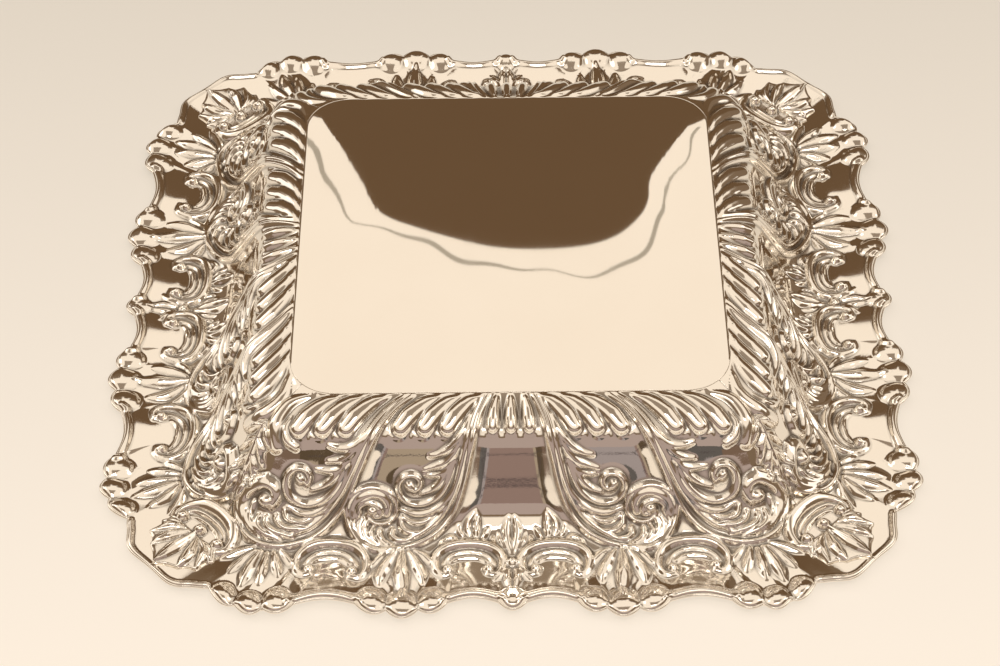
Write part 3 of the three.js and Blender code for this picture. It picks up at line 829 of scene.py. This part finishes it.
def claim(piece, node, finish):
    """Gives a piece its finish, hangs it on the root body and hides the CAD part that it stands for."""
    if volume(piece) < 0:
        piece.data.flip_normals()
    piece.data.materials.clear()
    piece.data.materials.append(finish)
    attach(piece, "root")
    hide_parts(node)
    print(piece.name, len(piece.data.polygons), "faces,", round(volume(piece), 3), "cm3")


# %% [markdown]
# ## Finishes
# All of the metal is silver, so one recipe with different amounts makes the three finishes: the
# polished plate with its fine wiping scratches, the struck ornament with dark oxide and painted
# shade in its valleys, and the bright worn wire. Shader sums are written as Python, through a
# small class.

# %% Shader sums
def sum_of(operation, swapped=False):
    """Makes the method behind one of Python's operators."""
    def made(self, other):
        pair = (other, self) if swapped else (self, other)
        return self.graph.node("ShaderNodeMath", {"operation": operation}, dict(enumerate(pair)))
    return made


class Value:
    """A node's output that can be used in sums."""

    def __init__(self, graph, socket):
        self.graph = graph
        self.socket = socket

    __add__ = sum_of("ADD")
    __radd__ = sum_of("ADD", swapped=True)
    __sub__ = sum_of("SUBTRACT")
    __rsub__ = sum_of("SUBTRACT", swapped=True)
    __mul__ = sum_of("MULTIPLY")
    __rmul__ = sum_of("MULTIPLY", swapped=True)


class Graph:
    """A node tree whose nodes all come from one method."""

    def __init__(self, tree):
        self.tree = tree

    def put(self, socket, value):
        if isinstance(value, Value):
            self.tree.links.new(value.socket, socket)
        elif isinstance(value, tuple) and socket.type == "RGBA":
            socket.default_value = (*value, 1.0)
        else:
            socket.default_value = value

    def node(self, kind, settings, values, output=0):
        """Makes a node with its settings, then its sockets by position, name or identifier."""
        made = self.tree.nodes.new(kind)
        for key, value in settings.items():
            setattr(made, key, value)
        for key, value in values.items():
            self.put(self.pick(made.inputs, key), value)
        return Value(self, self.pick(made.outputs, output))

    @staticmethod
    def pick(sockets, key):
        for socket in sockets:
            if socket.identifier == key:
                return socket
        return sockets[key]


class Finish(Graph):
    """A material, or the world, with its shader."""

    def __init__(self, name, shader="BsdfPrincipled", kind="materials", output="OutputMaterial"):
        self.material = getattr(bpy.data, kind).new(name)
        self.material.use_nodes = True
        super().__init__(self.material.node_tree)
        self.tree.nodes.clear()
        self.shader = self.tree.nodes.new("ShaderNode" + shader)
        end = self.tree.nodes.new("ShaderNode" + output)
        self.tree.links.new(self.shader.outputs[0], end.inputs["Surface"])

    def surface(self, **values):
        """Sets the shader's own sockets."""
        for key, value in values.items():
            self.put(self.shader.inputs[key.replace("_", " ")], value)

    def mix(self, share, first, second):
        colours = {"Factor_Float": share, "A_Color": first, "B_Color": second}
        return self.node("ShaderNodeMix", {"data_type": "RGBA"}, colours, "Result_Color")

    def range(self, value, low, high, to_low, to_high):
        limits = {0: value, 1: low, 2: high, 3: to_low, 4: to_high}
        return self.node("ShaderNodeMapRange", {"clamp": True}, limits)

    def noise(self, scale, detail, place=None, **more):
        place = place or self.node("ShaderNodeTexCoord", {}, {}, "Object")
        sockets = {"Vector": place, "Scale": scale, "Detail": detail, **more}
        return self.node("ShaderNodeTexNoise", {}, sockets)


# %% Silver
SILVER = (0.90, 0.85, 0.775)
WARM_SILVER = (0.86, 0.80, 0.715)  # where it has begun to tarnish
# colour of the oxide in the valleys, which also serves as painted shade there
OXIDE_AND_SHADE = (0.115, 0.088, 0.066)
SCRATCH_DIRECTIONS = [
    # (angle, fineness, how little it varies along its length)
    (0.35, 130.0, 0.03), (1.9, 110.0, 0.03), (2.7, 150.0, 0.025),
]


def scratches(finish, angle, fineness, stretch):
    """Thin straight marks in one direction."""
    place = finish.node("ShaderNodeTexCoord", {}, {}, "Object")
    turn = {"Vector": place, "Rotation": (0, 0, angle), "Scale": (1, stretch, 1)}
    laid = finish.node("ShaderNodeMapping", {}, turn)
    lines = finish.noise(fineness, 2.0, laid, Roughness=0.6)
    return finish.range(lines, 0.60, 0.74, 0.0, 1.0)


def silver(name, rough, worked, scratch, oxide_and_shade_amount, pits):
    """Roughness where plain and where worked, then amounts of scratches, of oxide with painted shade in the
    valleys, and of pits.
    """
    finish = Finish(name)
    recess = finish.node("ShaderNodeAttribute", {"attribute_name": "recess"}, {}, "Fac")
    relief = finish.node("ShaderNodeAttribute", {"attribute_name": "relief"}, {}, "Fac")
    cloud = finish.noise(22.0, 4.0)
    mottle = finish.noise(140.0, 3.0)
    first, second, third = (scratches(finish, *direction) for direction in SCRATCH_DIRECTIONS)
    wiped = first + second + third
    fine = finish.noise(1500.0, 2.0)
    # darkens the valleys: partly real oxide, partly painted shade for the light that the relief keeps out
    oxide_and_shade = finish.range(recess * (0.7 + mottle * 0.6), 0.12, 0.95, 0.0, oxide_and_shade_amount)
    body = finish.mix(finish.range(cloud, 0.35, 0.7, 0.0, 0.35), SILVER, WARM_SILVER)
    base = rough + relief * (worked - rough)
    depth = wiped * (-scratch) + fine * pits
    finish.surface(
        Metallic=1.0,
        Base_Color=finish.mix(oxide_and_shade, body, OXIDE_AND_SHADE),
        Roughness=base + cloud * (0.6 * rough) + wiped * (0.1 * scratch) + oxide_and_shade * 0.30,
        Normal=finish.node("ShaderNodeBump", {}, {"Strength": 0.12, "Distance": 0.2 * MM, "Height": depth}),
    )
    return finish.material


polished = silver("polished_silver", 0.014, 0.014, 0.03, 0.0, 0.01)
chased = silver("chased_silver", 0.03, 0.09, 0.1, 0.7, 0.2)
wire_finish = silver("wire_silver", 0.08, 0.08, 0.2, 0.3, 0.15)
print("finishes:", polished.name, chased.name, wire_finish.name)

# %% [markdown]
# ## Four borders
# One border is pressed and then turned to the other three sides. Its back shows the ornament as
# soft dents: each rib is narrowed by the thickness of the metal and then softened.

# %% Borders
COLUMNS = 560
ROWS = 160
UNDER_PLATE_ROWS = 3
BACK_STEP = 4  # the back has every fourth row and column
rows_l = np.concatenate([
    np.linspace(section_l[0] + 0.2, -1.0, UNDER_PLATE_ROWS, endpoint=False),
    np.linspace(-1.0, RIM_L, ROWS + 1 - UNDER_PLATE_ROWS),
])
grid_l, grid_t = np.meshgrid(rows_l, np.linspace(-1, 1, COLUMNS + 1), indexing="ij")
front, front_marks = struck_border(grid_l, grid_t)

# metal can't be pressed into valleys narrower than its own thickness
RIB_LOSS = 3.2  # how much narrower each rib is on either hand
DENT_SOFTNESS = 1.4
DENT_DEPTH = 0.6  # of the relief on the front
dents = copy.copy(die)
dents.sink(RIB_LOSS)
dents.soften(DENT_SOFTNESS)
back_l, back_t = grid_l[::BACK_STEP, ::BACK_STEP], grid_t[::BACK_STEP, ::BACK_STEP]
back, _ = struck_border(back_l, back_t, dents.height, share=DENT_DEPTH, offset=-SHEET)
back[..., 2] = np.maximum(back[..., 2], 0)
for quarter, side in enumerate(SIDES):
    piece = closed_sheet(
        "struck_border_" + side, turned(front, quarter), turned(back, quarter), front_marks
    )
    claim(piece, "border_" + side, chased)

# %% [markdown]
# ## The raised plate
# The plate is a thin flat sheet, planished by hand, so it is not quite flat: it falls away a
# little to its edges and has soft waves that bend whatever it mirrors. Squares inside squares
# make its grid, and their corners are rounded like the outline.

# %% Plate
EDGE_ROUND = 0.12  # radius of the edge
INNER_SQUARES = np.linspace(0, PLATEAU_HALF - 2, 45)
EDGE_SQUARES = PLATEAU_HALF - np.array([1.2, 0.6, 0.12, 0.07, 0.02, 0])  # closer, for the edge's rounding
PLATE_SINK = 0.03  # keeps the waves' crests under the CAD plate's top
PLATE_FALL = 0.28  # from the middle to the edge
WAVES = 26
WAVE_HEIGHT = 0.028
half_levels = np.concatenate([INNER_SQUARES, EDGE_SQUARES])
levels = np.concatenate([-half_levels[:0:-1], half_levels]) / PLATEAU_HALF
u, v = np.meshgrid(levels, levels, indexing="ij")
size = np.maximum(np.abs(u), np.abs(v))  # of the square that a point lies on, 1 at the outline
major_is_u = np.abs(u) >= np.abs(v)
minor = np.where(major_is_u, np.abs(v), np.abs(u)) / np.maximum(size, 1e-9)
rounding = PLATEAU_RADIUS / PLATEAU_HALF
phi = np.clip((minor - (1 - rounding)) / rounding, 0, 1) * math.pi / 4
long_side = (1 - rounding) + rounding * np.cos(phi)
short_side = np.where(phi > 0, (1 - rounding) + rounding * np.sin(phi), minor)
plate_x = np.where(major_is_u, long_side, short_side) * size * np.sign(u) * PLATEAU_HALF
plate_y = np.where(major_is_u, short_side, long_side) * size * np.sign(v) * PLATEAU_HALF
inside = PLATEAU_HALF * (1 - size)
fall = EDGE_ROUND - np.sqrt(np.clip(EDGE_ROUND**2 - np.clip(EDGE_ROUND - inside, 0, None) ** 2, 0, None))
waves = np.zeros_like(size)
chance = np.random.default_rng(7)
for _ in range(WAVES):
    heading = chance.uniform(0, math.pi)
    length = chance.uniform(26, 90)
    place = plate_x * math.cos(heading) + plate_y * math.sin(heading)
    waves += length**1.1 * np.sin(2 * math.pi * place / length + chance.uniform(0, 6.28))
waves *= WAVE_HEIGHT / np.abs(waves).max()
plate_z = TOP - PLATE_SINK - PLATE_FALL * size**4 - fall + waves
plate_front = np.stack([plate_x, plate_y, plate_z], -1)
plate_back = np.stack([plate_x, plate_y, np.full_like(plate_z, TOP - SHEET)], -1)
claim(closed_sheet("polished_plate", plate_front, plate_back), "centre_plate", polished)

# %% [markdown]
# ## Rim wires
# A wire is soldered over the raw edge of each border. It follows a path, so Geometry Nodes sweep
# an oval section along the scalloped edge.

# %% Wire sweep
def sweep_tree(finish):
    """Node tree that sweeps an oval section along a path, and the identifiers of its inputs."""
    sweep = Graph(bpy.data.node_groups.new("rim_wire_sweep", "GeometryNodeTree"))
    face = sweep.tree.interface
    kinds = {"Path": "Geometry", "Wire Width": "Float", "Wire Height": "Float", "Sides": "Int"}
    inputs = {}
    for name, kind in kinds.items():
        inputs[name] = face.new_socket(name, in_out="INPUT", socket_type="NodeSocket" + kind).identifier
    face.new_socket("Wire", in_out="OUTPUT", socket_type="NodeSocketGeometry")
    start = sweep.tree.nodes.new("NodeGroupInput")
    given = {name: Value(sweep, start.outputs[name]) for name in inputs}
    path = sweep.node("GeometryNodeMeshToCurve", {}, {"Mesh": given["Path"]})
    upright = sweep.node("GeometryNodeSetCurveNormal", {"mode": "Z_UP"}, {"Curve": path})
    round_size = {"Radius": 0.5, "Resolution": given["Sides"]}
    circle = sweep.node("GeometryNodeCurvePrimitiveCircle", {}, round_size)
    stretch = {"X": given["Wire Width"], "Y": given["Wire Height"]}
    across = sweep.node("ShaderNodeCombineXYZ", {}, stretch)
    oval = sweep.node("GeometryNodeTransform", {}, {"Geometry": circle, "Scale": across})
    along = {"Curve": upright, "Profile Curve": oval, "Fill Caps": True}
    swept = sweep.node("GeometryNodeCurveToMesh", {}, along)
    real = sweep.node("GeometryNodeRealizeInstances", {}, {"Geometry": swept})
    coated = sweep.node("GeometryNodeSetMaterial", {}, {"Geometry": real, "Material": finish})
    sweep.put(sweep.tree.nodes.new("NodeGroupOutput").inputs["Wire"], coated)
    return sweep.tree, inputs


def plain_mesh(piece):
    """Turns a piece with live modifiers into a plain mesh."""
    graph = bpy.context.evaluated_depsgraph_get()
    made = bpy.data.meshes.new_from_object(piece.evaluated_get(graph))
    piece.modifiers.clear()
    piece.data = made


WIRE_HEIGHT = 1.3
WIRE_SIDES = 12
wire_tree, wire_inputs = sweep_tree(wire_finish)
half_path = edge[::2] if len(edge) % 2 else np.concatenate([edge[:-1:2], edge[-1:]])
whole_path = np.concatenate([half_path[::-1] * (-1, 1), half_path[1:]])
wire_centre = whole_path * (1 - WIRE_WIDTH * 0.5 / RIM_HALF)
wire_low, wire_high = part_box("rim_wire_front")
rim_z = (wire_low.z + wire_high.z) / 2 / MM
centre_line = np.column_stack([wire_centre, np.full(len(wire_centre), rim_z)])
links = [(i, i + 1) for i in range(len(centre_line) - 1)]
for quarter, side in enumerate(SIDES):
    path_mesh = bpy.data.meshes.new("rim_path_" + side)
    path_mesh.from_pydata((turned(centre_line, quarter) * MM).tolist(), links, [])
    piece = placed("half_round_wire_" + side, path_mesh)
    sweep = piece.modifiers.new("sweep", "NODES")
    sweep.node_group = wire_tree
    sweep[wire_inputs["Wire Width"]] = WIRE_WIDTH * MM
    sweep[wire_inputs["Wire Height"]] = WIRE_HEIGHT * MM
    sweep[wire_inputs["Sides"]] = WIRE_SIDES
    plain_mesh(piece)
    piece.data.polygons.foreach_set("use_smooth", np.ones(len(piece.data.polygons), bool))
    claim(piece, "rim_wire_" + side, wire_finish)

# %% [markdown]
# ## Corner pieces
# Two cast pieces hide each mitre: a long leaf on the wall and a scroll cartouche on the flange.
# They are drawn on small dies of their own, where `t` runs across the mitre and `d` outwards from
# the middle of the salver. Both are laid on the struck border below them, so their shape
# includes its height.

# %% Cartouche
CARTOUCHE_SCROLL = [
    # (curve, half widths, heights)
    ([(-9.8, 173.4), (-13, 173.2), (-14.2, 169.6), (-12.6, 165), (-8.6, 162), (-4, 160.8), (0, 160.4)],
     [1.0, 1.3, 1.9, 2.4, 2.6, 2.6, 2.6], [1.3, 1.9, 2.4, 2.7, 2.9, 2.9, 2.9]),
    ([(-11, 168.6), (-8.8, 166.0), (-4.6, 164.7), (0, 164.4)], [0.6, 0.8, 0.9, 0.9], [0.9, 1.5, 1.8, 1.8]),
    ([(-8, 168.8), (-5, 167.4), (0, 166.8)], [0.4, 0.7, 0.7], [0.8, 1.2, 1.3]),
]
CARTOUCHE_LEAF = [
    # (curve from root to tip, half width, height)
    ([(0, 172.5), (0, 180), (0, 187), (0, 194)], 2.9, 2.3),
    ([(-2.4, 174.4), (-5.4, 179.4), (-7.2, 184), (-8.0, 189)], 2.5, 2.0),
    ([(-4.2, 174.4), (-9, 176.6), (-12, 180.6), (-13.4, 185)], 2.4, 1.9),
    ([(-6.2, 174), (-10.6, 174.8), (-14.4, 177.4)], 1.6, 1.5),
]
CARTOUCHE_BALLS = [(0, 170.9, 2.5, 3.6), (-10.2, 171.0, 2.6, 3.4), (10.2, 171.0, 2.6, 3.4)]
CARTOUCHE_OUTLINE = np.array([
    # distance from the middle of the salver, half width
    (158.2, 2), (158.8, 7), (160, 11), (162.4, 14), (166, 15.8), (170, 16), (173, 14.8), (175, 14.2),
    (177.6, 15), (179.4, 13.4), (181, 13.4), (184.6, 14), (186, 11), (187.4, 9.2), (189, 8.4),
    (190.8, 4.8), (192.4, 2.6), (194.2, 0.5),
])
CAST_STEP = 0.15  # of a casting's die
CAST_SOFTNESS = 0.15
CAST_SINK = 0.1  # how far the back of a casting lies in the border
cartouche_die = Die(-20, 20, 154, 198, CAST_STEP)
cartouche_die.cut(CARTOUCHE_SCROLL, mirror=True)
cut_lobes(cartouche_die, CARTOUCHE_LEAF, mirror=True)
for ball in CARTOUCHE_BALLS:
    cartouche_die.press(*ball)
cartouche_die.soften(CAST_SOFTNESS)
print("cartouche relief up to", round(cartouche_die.height.max(), 2), "mm")


# %% Laying the cartouche on the border
def pressed_under(x, y):
    """Height of the two borders beside the front right corner, by rays dropped from above."""
    found = np.full(x.shape, np.nan)
    for side in ("front", "right"):
        mesh = bpy.data.objects["struck_border_" + side].data
        corners = [v.co.copy() for v in mesh.vertices]
        tree = BVHTree.FromPolygons(corners, [p.vertices[:] for p in mesh.polygons])
        for index in np.ndindex(x.shape):
            hit = tree.ray_cast(Vector((x[index] * MM, y[index] * MM, 0.1)), Vector((0, 0, -1)))[0]
            if hit is not None and not found[index] > hit.z / MM:
                found[index] = hit.z / MM
    return found


def cast_rim(u, power):
    """1 over most of a casting, falling steeply to 0 at its two long edges, where u is -1 and 1."""
    return np.sqrt(np.clip(1 - np.abs(u) ** power, 0, 1))


def add_castings(label, node, front, back, marks):
    """The same casting at all four corners."""
    for quarter, corner in enumerate(CORNERS):
        piece = closed_sheet(label + corner, turned(front, quarter), turned(back, quarter), marks)
        claim(piece, node + corner, chased)


CARTOUCHE_EDGE = 0.3  # its thickness at the edge, and what is added inside
CARTOUCHE_BODY = 0.9


def add_cartouches():
    """The front right cartouche, in the frame of the front side, turned to all corners."""
    rows = np.linspace(CARTOUCHE_OUTLINE[0, 0], CARTOUCHE_OUTLINE[-1, 0], 121)
    d, u = np.meshgrid(rows, np.sin(np.linspace(-1, 1, 97) * math.pi / 2), indexing="ij")
    t = u * smooth_curve(d, CARTOUCHE_OUTLINE[:, 0], CARTOUCHE_OUTLINE[:, 1])
    a = (d + t) / math.sqrt(2)
    b = (d - t) / math.sqrt(2)
    below = pressed_under(a, -b)
    below = np.where(np.isnan(below), rim_z, below)
    rim = cast_rim(u, 6)
    height = below + (CARTOUCHE_EDGE + CARTOUCHE_BODY * rim) + cartouche_die.read(t, d) * rim
    # its valleys get the same dark oxide and painted shade as the border
    valleys = np.clip((cartouche_die.softened(0.9).height - cartouche_die.height) * 1.5, 0, 1)
    marks = {"recess": cartouche_die.read(t, d, valleys), "relief": np.ones(t.shape)}
    under = np.stack([a, b, below - CAST_SINK], -1)[::BACK_STEP, ::BACK_STEP]
    add_castings("cast_cartouche_", "corner_cartouche_", np.stack([a, b, height], -1), under, marks)


add_cartouches()

# %% Mitre leaf
MITRE_LEAF = [
    # (curve from vein to tip, half width, height)
    ([(0, 17.5), (0, 30), (0, 42), (0, 52.5)], 1.3, 1.5),
    ([(-0.8, 18.5), (-3.6, 21), (-6.2, 25.5)], 1.9, 1.5),
    ([(-0.8, 24), (-3.8, 28), (-6.4, 33.5)], 1.9, 1.6),
    ([(-0.8, 31), (-3.4, 35.5), (-5.2, 41)], 1.8, 1.5),
    ([(-0.6, 38), (-2.2, 43), (-2.8, 48.5)], 1.5, 1.3),
]
LEAF_OUTLINE = np.array([
    # l, half width
    (16.5, 0.6), (19, 3.4), (22, 5.6), (25.5, 7.6), (27.5, 5.6), (30, 6.2), (33.5, 7.9), (35.5, 5.4),
    (38, 5.6), (41, 6.4), (43, 4.0), (46, 3.8), (49, 3.4), (51, 1.6), (53.5, 0.5),
])
leaf_die = Die(-14, 14, 14, 60, CAST_STEP)
cut_lobes(leaf_die, MITRE_LEAF, mirror=True)
leaf_die.soften(CAST_SOFTNESS)
print("leaf relief up to", round(leaf_die.height.max(), 2), "mm")


# %% Laying the leaf on the mitre
LEAF_EDGE = 0.25  # its thickness at the edge, and what is added inside
LEAF_BODY = 0.6


def add_mitre_leaves():
    """One half lies on the front side, and the half beyond the mitre is its mirror image."""
    rows = np.linspace(LEAF_OUTLINE[0, 0], LEAF_OUTLINE[-1, 0], 101)
    l, u = np.meshgrid(rows, np.linspace(-1, 1, 61), indexing="ij")
    t = u * smooth_curve(l, LEAF_OUTLINE[:, 0], LEAF_OUTLINE[:, 1])
    run = run_at(l)
    radius = corner_radius(run)
    mitre_length = PLATEAU_HALF + run - radius + radius * math.pi / 4
    share = 1 - np.abs(t) / mitre_length
    _, normal = plain_border(l, share)
    struck, _ = struck_border(l, share)
    rim = cast_rim(u, 4)
    lift = LEAF_EDGE + (LEAF_BODY + leaf_die.read(t, l)) * rim
    beyond = (t > 0)[..., None]
    front = struck + normal * lift[..., None]
    under = struck - normal * CAST_SINK
    front, under = (np.where(beyond, grid[..., [1, 0, 2]], grid) for grid in (front, under))
    # the leaf is darker where its relief is lowest, with oxide and painted shade
    marks = {"recess": np.clip(0.7 - leaf_die.read(t, l), 0, 0.7) * rim, "relief": np.ones(t.shape)}
    add_castings("cast_leaf_", "corner_leaf_", front, under[::BACK_STEP, ::BACK_STEP], marks)


add_mitre_leaves()

# %% [markdown]
# ## Floor, cards and light
# Silver shows only what it mirrors. A pale sweep lies under it and light comes from high up all
# round, with a dim brown room lower down. An arched brown card behind is what the flat plate
# shows. Cards of plum, grey and brown behind the camera give the front walls their bands, and a
# brown one overhead is what the flange shows beside the wall. The cards are left out of the
# camera's own rays, so that the salver can be looked at from any side.

# %% Floor
def stage_piece(name, points, faces, material, hidden_from=()):
    """A flat piece of the studio, in metres, and the kinds of ray that pass through it."""
    mesh = bpy.data.meshes.new(name)
    mesh.from_pydata(points, [], faces)
    mesh.materials.append(material)
    piece = placed(name, mesh)
    for ray in hidden_from:
        setattr(piece, "visible_" + ray, False)


FLOOR_SIZE = 4.0
FLOOR_Z = -0.0002
FLOOR_GLOW_NEAR = (0.985, 0.89, 0.76)
FLOOR_GLOW_FAR = (0.515, 0.49, 0.42)
TABLE_FRONT = -0.6  # the salver does not mirror the sweep nearer than this

# the floor glows, which is painted light: bright near the front and painted darker towards the back, where
# the light falls off
paper = Finish("pale_paper")
paper_place = paper.node("ShaderNodeTexCoord", {}, {}, "Object")
backwards = paper.node("ShaderNodeSeparateXYZ", {}, {0: paper_place}, "Y")
paper.surface(
    Base_Color=(0.40, 0.37, 0.345), Roughness=0.9, Specular_IOR_Level=0.05,
    Emission_Color=paper.mix(paper.range(backwards, -0.22, 0.32, 0.0, 1.0), FLOOR_GLOW_NEAR, FLOOR_GLOW_FAR),
    Emission_Strength=0.65,
)
for name, near, far, hidden_from in (
    ("floor", TABLE_FRONT, FLOOR_SIZE, ()), ("floor_front", -FLOOR_SIZE, TABLE_FRONT, ("glossy",)),
):
    ends = [(-FLOOR_SIZE, near), (FLOOR_SIZE, near), (FLOOR_SIZE, far), (-FLOOR_SIZE, far)]
    stage_piece(name, [(x, y, FLOOR_Z) for x, y in ends], [(0, 1, 2, 3)], paper.material, hidden_from)

# a pale round wall outside it, for the views that look along the floor
WALL_RADIUS = 4.2
WALL_PANELS = 48
wall_angles = np.linspace(0, 2 * math.pi, WALL_PANELS, endpoint=False)
wall_points = [
    (WALL_RADIUS * math.cos(q), WALL_RADIUS * math.sin(q), z) for z in (-0.3, 4.0) for q in wall_angles
]
wall_faces = []
for k in range(WALL_PANELS):
    following = (k + 1) % WALL_PANELS
    wall_faces.append((k, following, WALL_PANELS + following, WALL_PANELS + k))
haze = Finish("pale_haze", "Emission")
haze.surface(Color=(0.80, 0.72, 0.62), Strength=1.0)
stage_piece(
    "far_wall", wall_points, wall_faces, haze.material, ("glossy", "diffuse", "shadow", "transmission")
)
print("floor", 2 * FLOOR_SIZE, "m wide, wall", 2 * WALL_RADIUS, "m across")


# %% Cards
def card(name, points, colour):
    """A glowing card that only mirrors can see."""
    glow = Finish(name, "Emission")
    glow.surface(Color=colour, Strength=1.0)
    stage_piece(name, points, [list(range(len(points)))], glow.material, ("camera", "shadow", "diffuse"))


# the arched card stands behind the salver, and its outline is given as (x, z)
BROWN = (0.150, 0.088, 0.045)
ARCH_Y = 1.0
ARCH = [
    (-0.18, 0.844), (-0.168, 0.888), (-0.151, 0.927), (-0.125, 0.980), (-0.082, 1.005),
    (-0.034, 1.022), (0.015, 1.033), (0.055, 1.034), (0.094, 1.023), (0.132, 0.997),
    (0.146, 0.970), (0.150, 0.944), (0.167, 0.905), (0.184, 0.861),
]
arch = curve(ARCH, 0.006)
left_foot = [(-0.9, 0.0), (-0.90, 0.76), (-0.34, 0.80)]
right_foot = [(0.34, 0.80), (0.90, 0.76), (0.9, 0.0)]
arch_outline = left_foot + arch.tolist() + right_foot
card("brown_card", [(x, ARCH_Y, z) for x, z in arch_outline], BROWN)

# a thin grey line follows the arch with a shaky hand
LINE_OFFSET = 0.026
LINE_WIDTH = 0.0045
LINE_COLOUR = (0.46, 0.40, 0.32)
ARCH_MIDDLE = (0.01, 0.80)
along_arch = np.linspace(0, 1, len(arch))
outward = arch - ARCH_MIDDLE
outward /= np.hypot(*outward.T)[:, None]
wander = 0.009 * np.sin(along_arch * 11 + 0.6) + 0.006 * np.sin(along_arch * 27 + 2.1)
wander += 0.003 * np.sin(along_arch * 63)
inner = arch + outward * (LINE_OFFSET + wander)[:, None]
outer = inner + outward * (LINE_WIDTH * (1.1 + 0.6 * np.sin(along_arch * 19)))[:, None]
for k in range(len(arch) - 1):
    quad = [inner[k], inner[k + 1], outer[k + 1], outer[k]]
    card("arch_line_" + str(k), [(x, ARCH_Y, z) for x, z in quad], LINE_COLOUR)

SIDE_CARD = [(0.235, 0.78), (0.9, 0.76), (0.9, 1.2), (0.292, 1.2), (0.263, 1.05), (0.24, 0.93)]
for hand in (-1, 1):
    card("side_card_" + str(hand + 1), [(hand * x, ARCH_Y, z) for x, z in SIDE_CARD], (0.19, 0.125, 0.075))
print("arched card with a line of", len(arch) - 1, "short cards")

# %% Cards behind the camera and overhead
LOW_CARDS = [
    # left and right end, colour
    (-1.7, -0.5, (0.20, 0.13, 0.09)), (-0.5, -0.17, (0.11, 0.075, 0.045)),
    (-0.17, -0.05, (0.42, 0.33, 0.24)), (-0.05, 0.05, (0.30, 0.205, 0.175)),
    (0.05, 0.17, (0.38, 0.325, 0.315)), (0.17, 0.5, (0.13, 0.115, 0.105)), (0.5, 1.7, (0.20, 0.13, 0.09)),
]
CARDS = [
    # name, lower left corner, upper right corner, colour
    ("rose_card", (-1.7, -1.6, 0.26), (1.7, -1.5, 0.85), (0.46, 0.36, 0.32)),
    ("dark_strip", (-1.5, -1.5, 0.058), (1.5, -1.5, 0.070), (0.08, 0.06, 0.06)),
    ("ceiling_card", (-0.7, -1.3, 2.2), (0.7, 0.7, 2.2), (0.33, 0.255, 0.19)),
]
for k, (left, right, colour) in enumerate(LOW_CARDS):
    CARDS.append(("low_card_" + str(k), (left, -1.6, -0.6), (right, -1.6, 0.26), colour))
for name, (left, y0, z0), (right, y1, z1), colour in CARDS:
    card(name, [(left, y0, z0), (right, y0, z0), (right, y1, z1), (left, y1, z1)], colour)
print(len(CARDS), "cards behind the camera and overhead")

# %% Room and lights
UPPER = (0.98, 0.865, 0.735)
LOWER = (0.20, 0.135, 0.085)
room = Finish("soft_room", "Background", "worlds", "OutputWorld")
direction = room.node("ShaderNodeTexCoord", {}, {}, "Generated")
upwards = room.node("ShaderNodeSeparateXYZ", {}, {0: direction}, "Z")
room.surface(Color=room.mix(room.range(upwards, 0.58, 0.65, 0.0, 1.0), LOWER, UPPER), Strength=1.08)
bpy.context.scene.world = room.material


def soft_light(name, place, size, power, colour):
    """An oblong light that faces the salver."""
    light = bpy.data.lights.new(name, "AREA")
    light.shape = "RECTANGLE"
    light.size, light.size_y = size
    light.energy = power
    light.color = colour
    lamp = bpy.data.objects.new(name, light)
    lamp.location = place
    lamp.rotation_euler = (-Vector(place)).to_track_quat("-Z", "Y").to_euler()
    bpy.context.scene.collection.objects.link(lamp)
    lamp.visible_camera = False


soft_light("window_left", (-1.5, 0.5, 0.9), (0.7, 1.4), 3.6, (1, 0.96, 0.90))
soft_light("window_right", (1.6, 0.0, 1.0), (0.6, 1.3), 2.8, (1, 0.96, 0.90))
soft_light("ceiling_lamp", (0.0, -0.8, 1.65), (0.9, 0.3), 3.4, (1, 0.97, 0.93))
bpy.context.scene.view_settings.view_transform = "Standard"
print("room and three lights set")
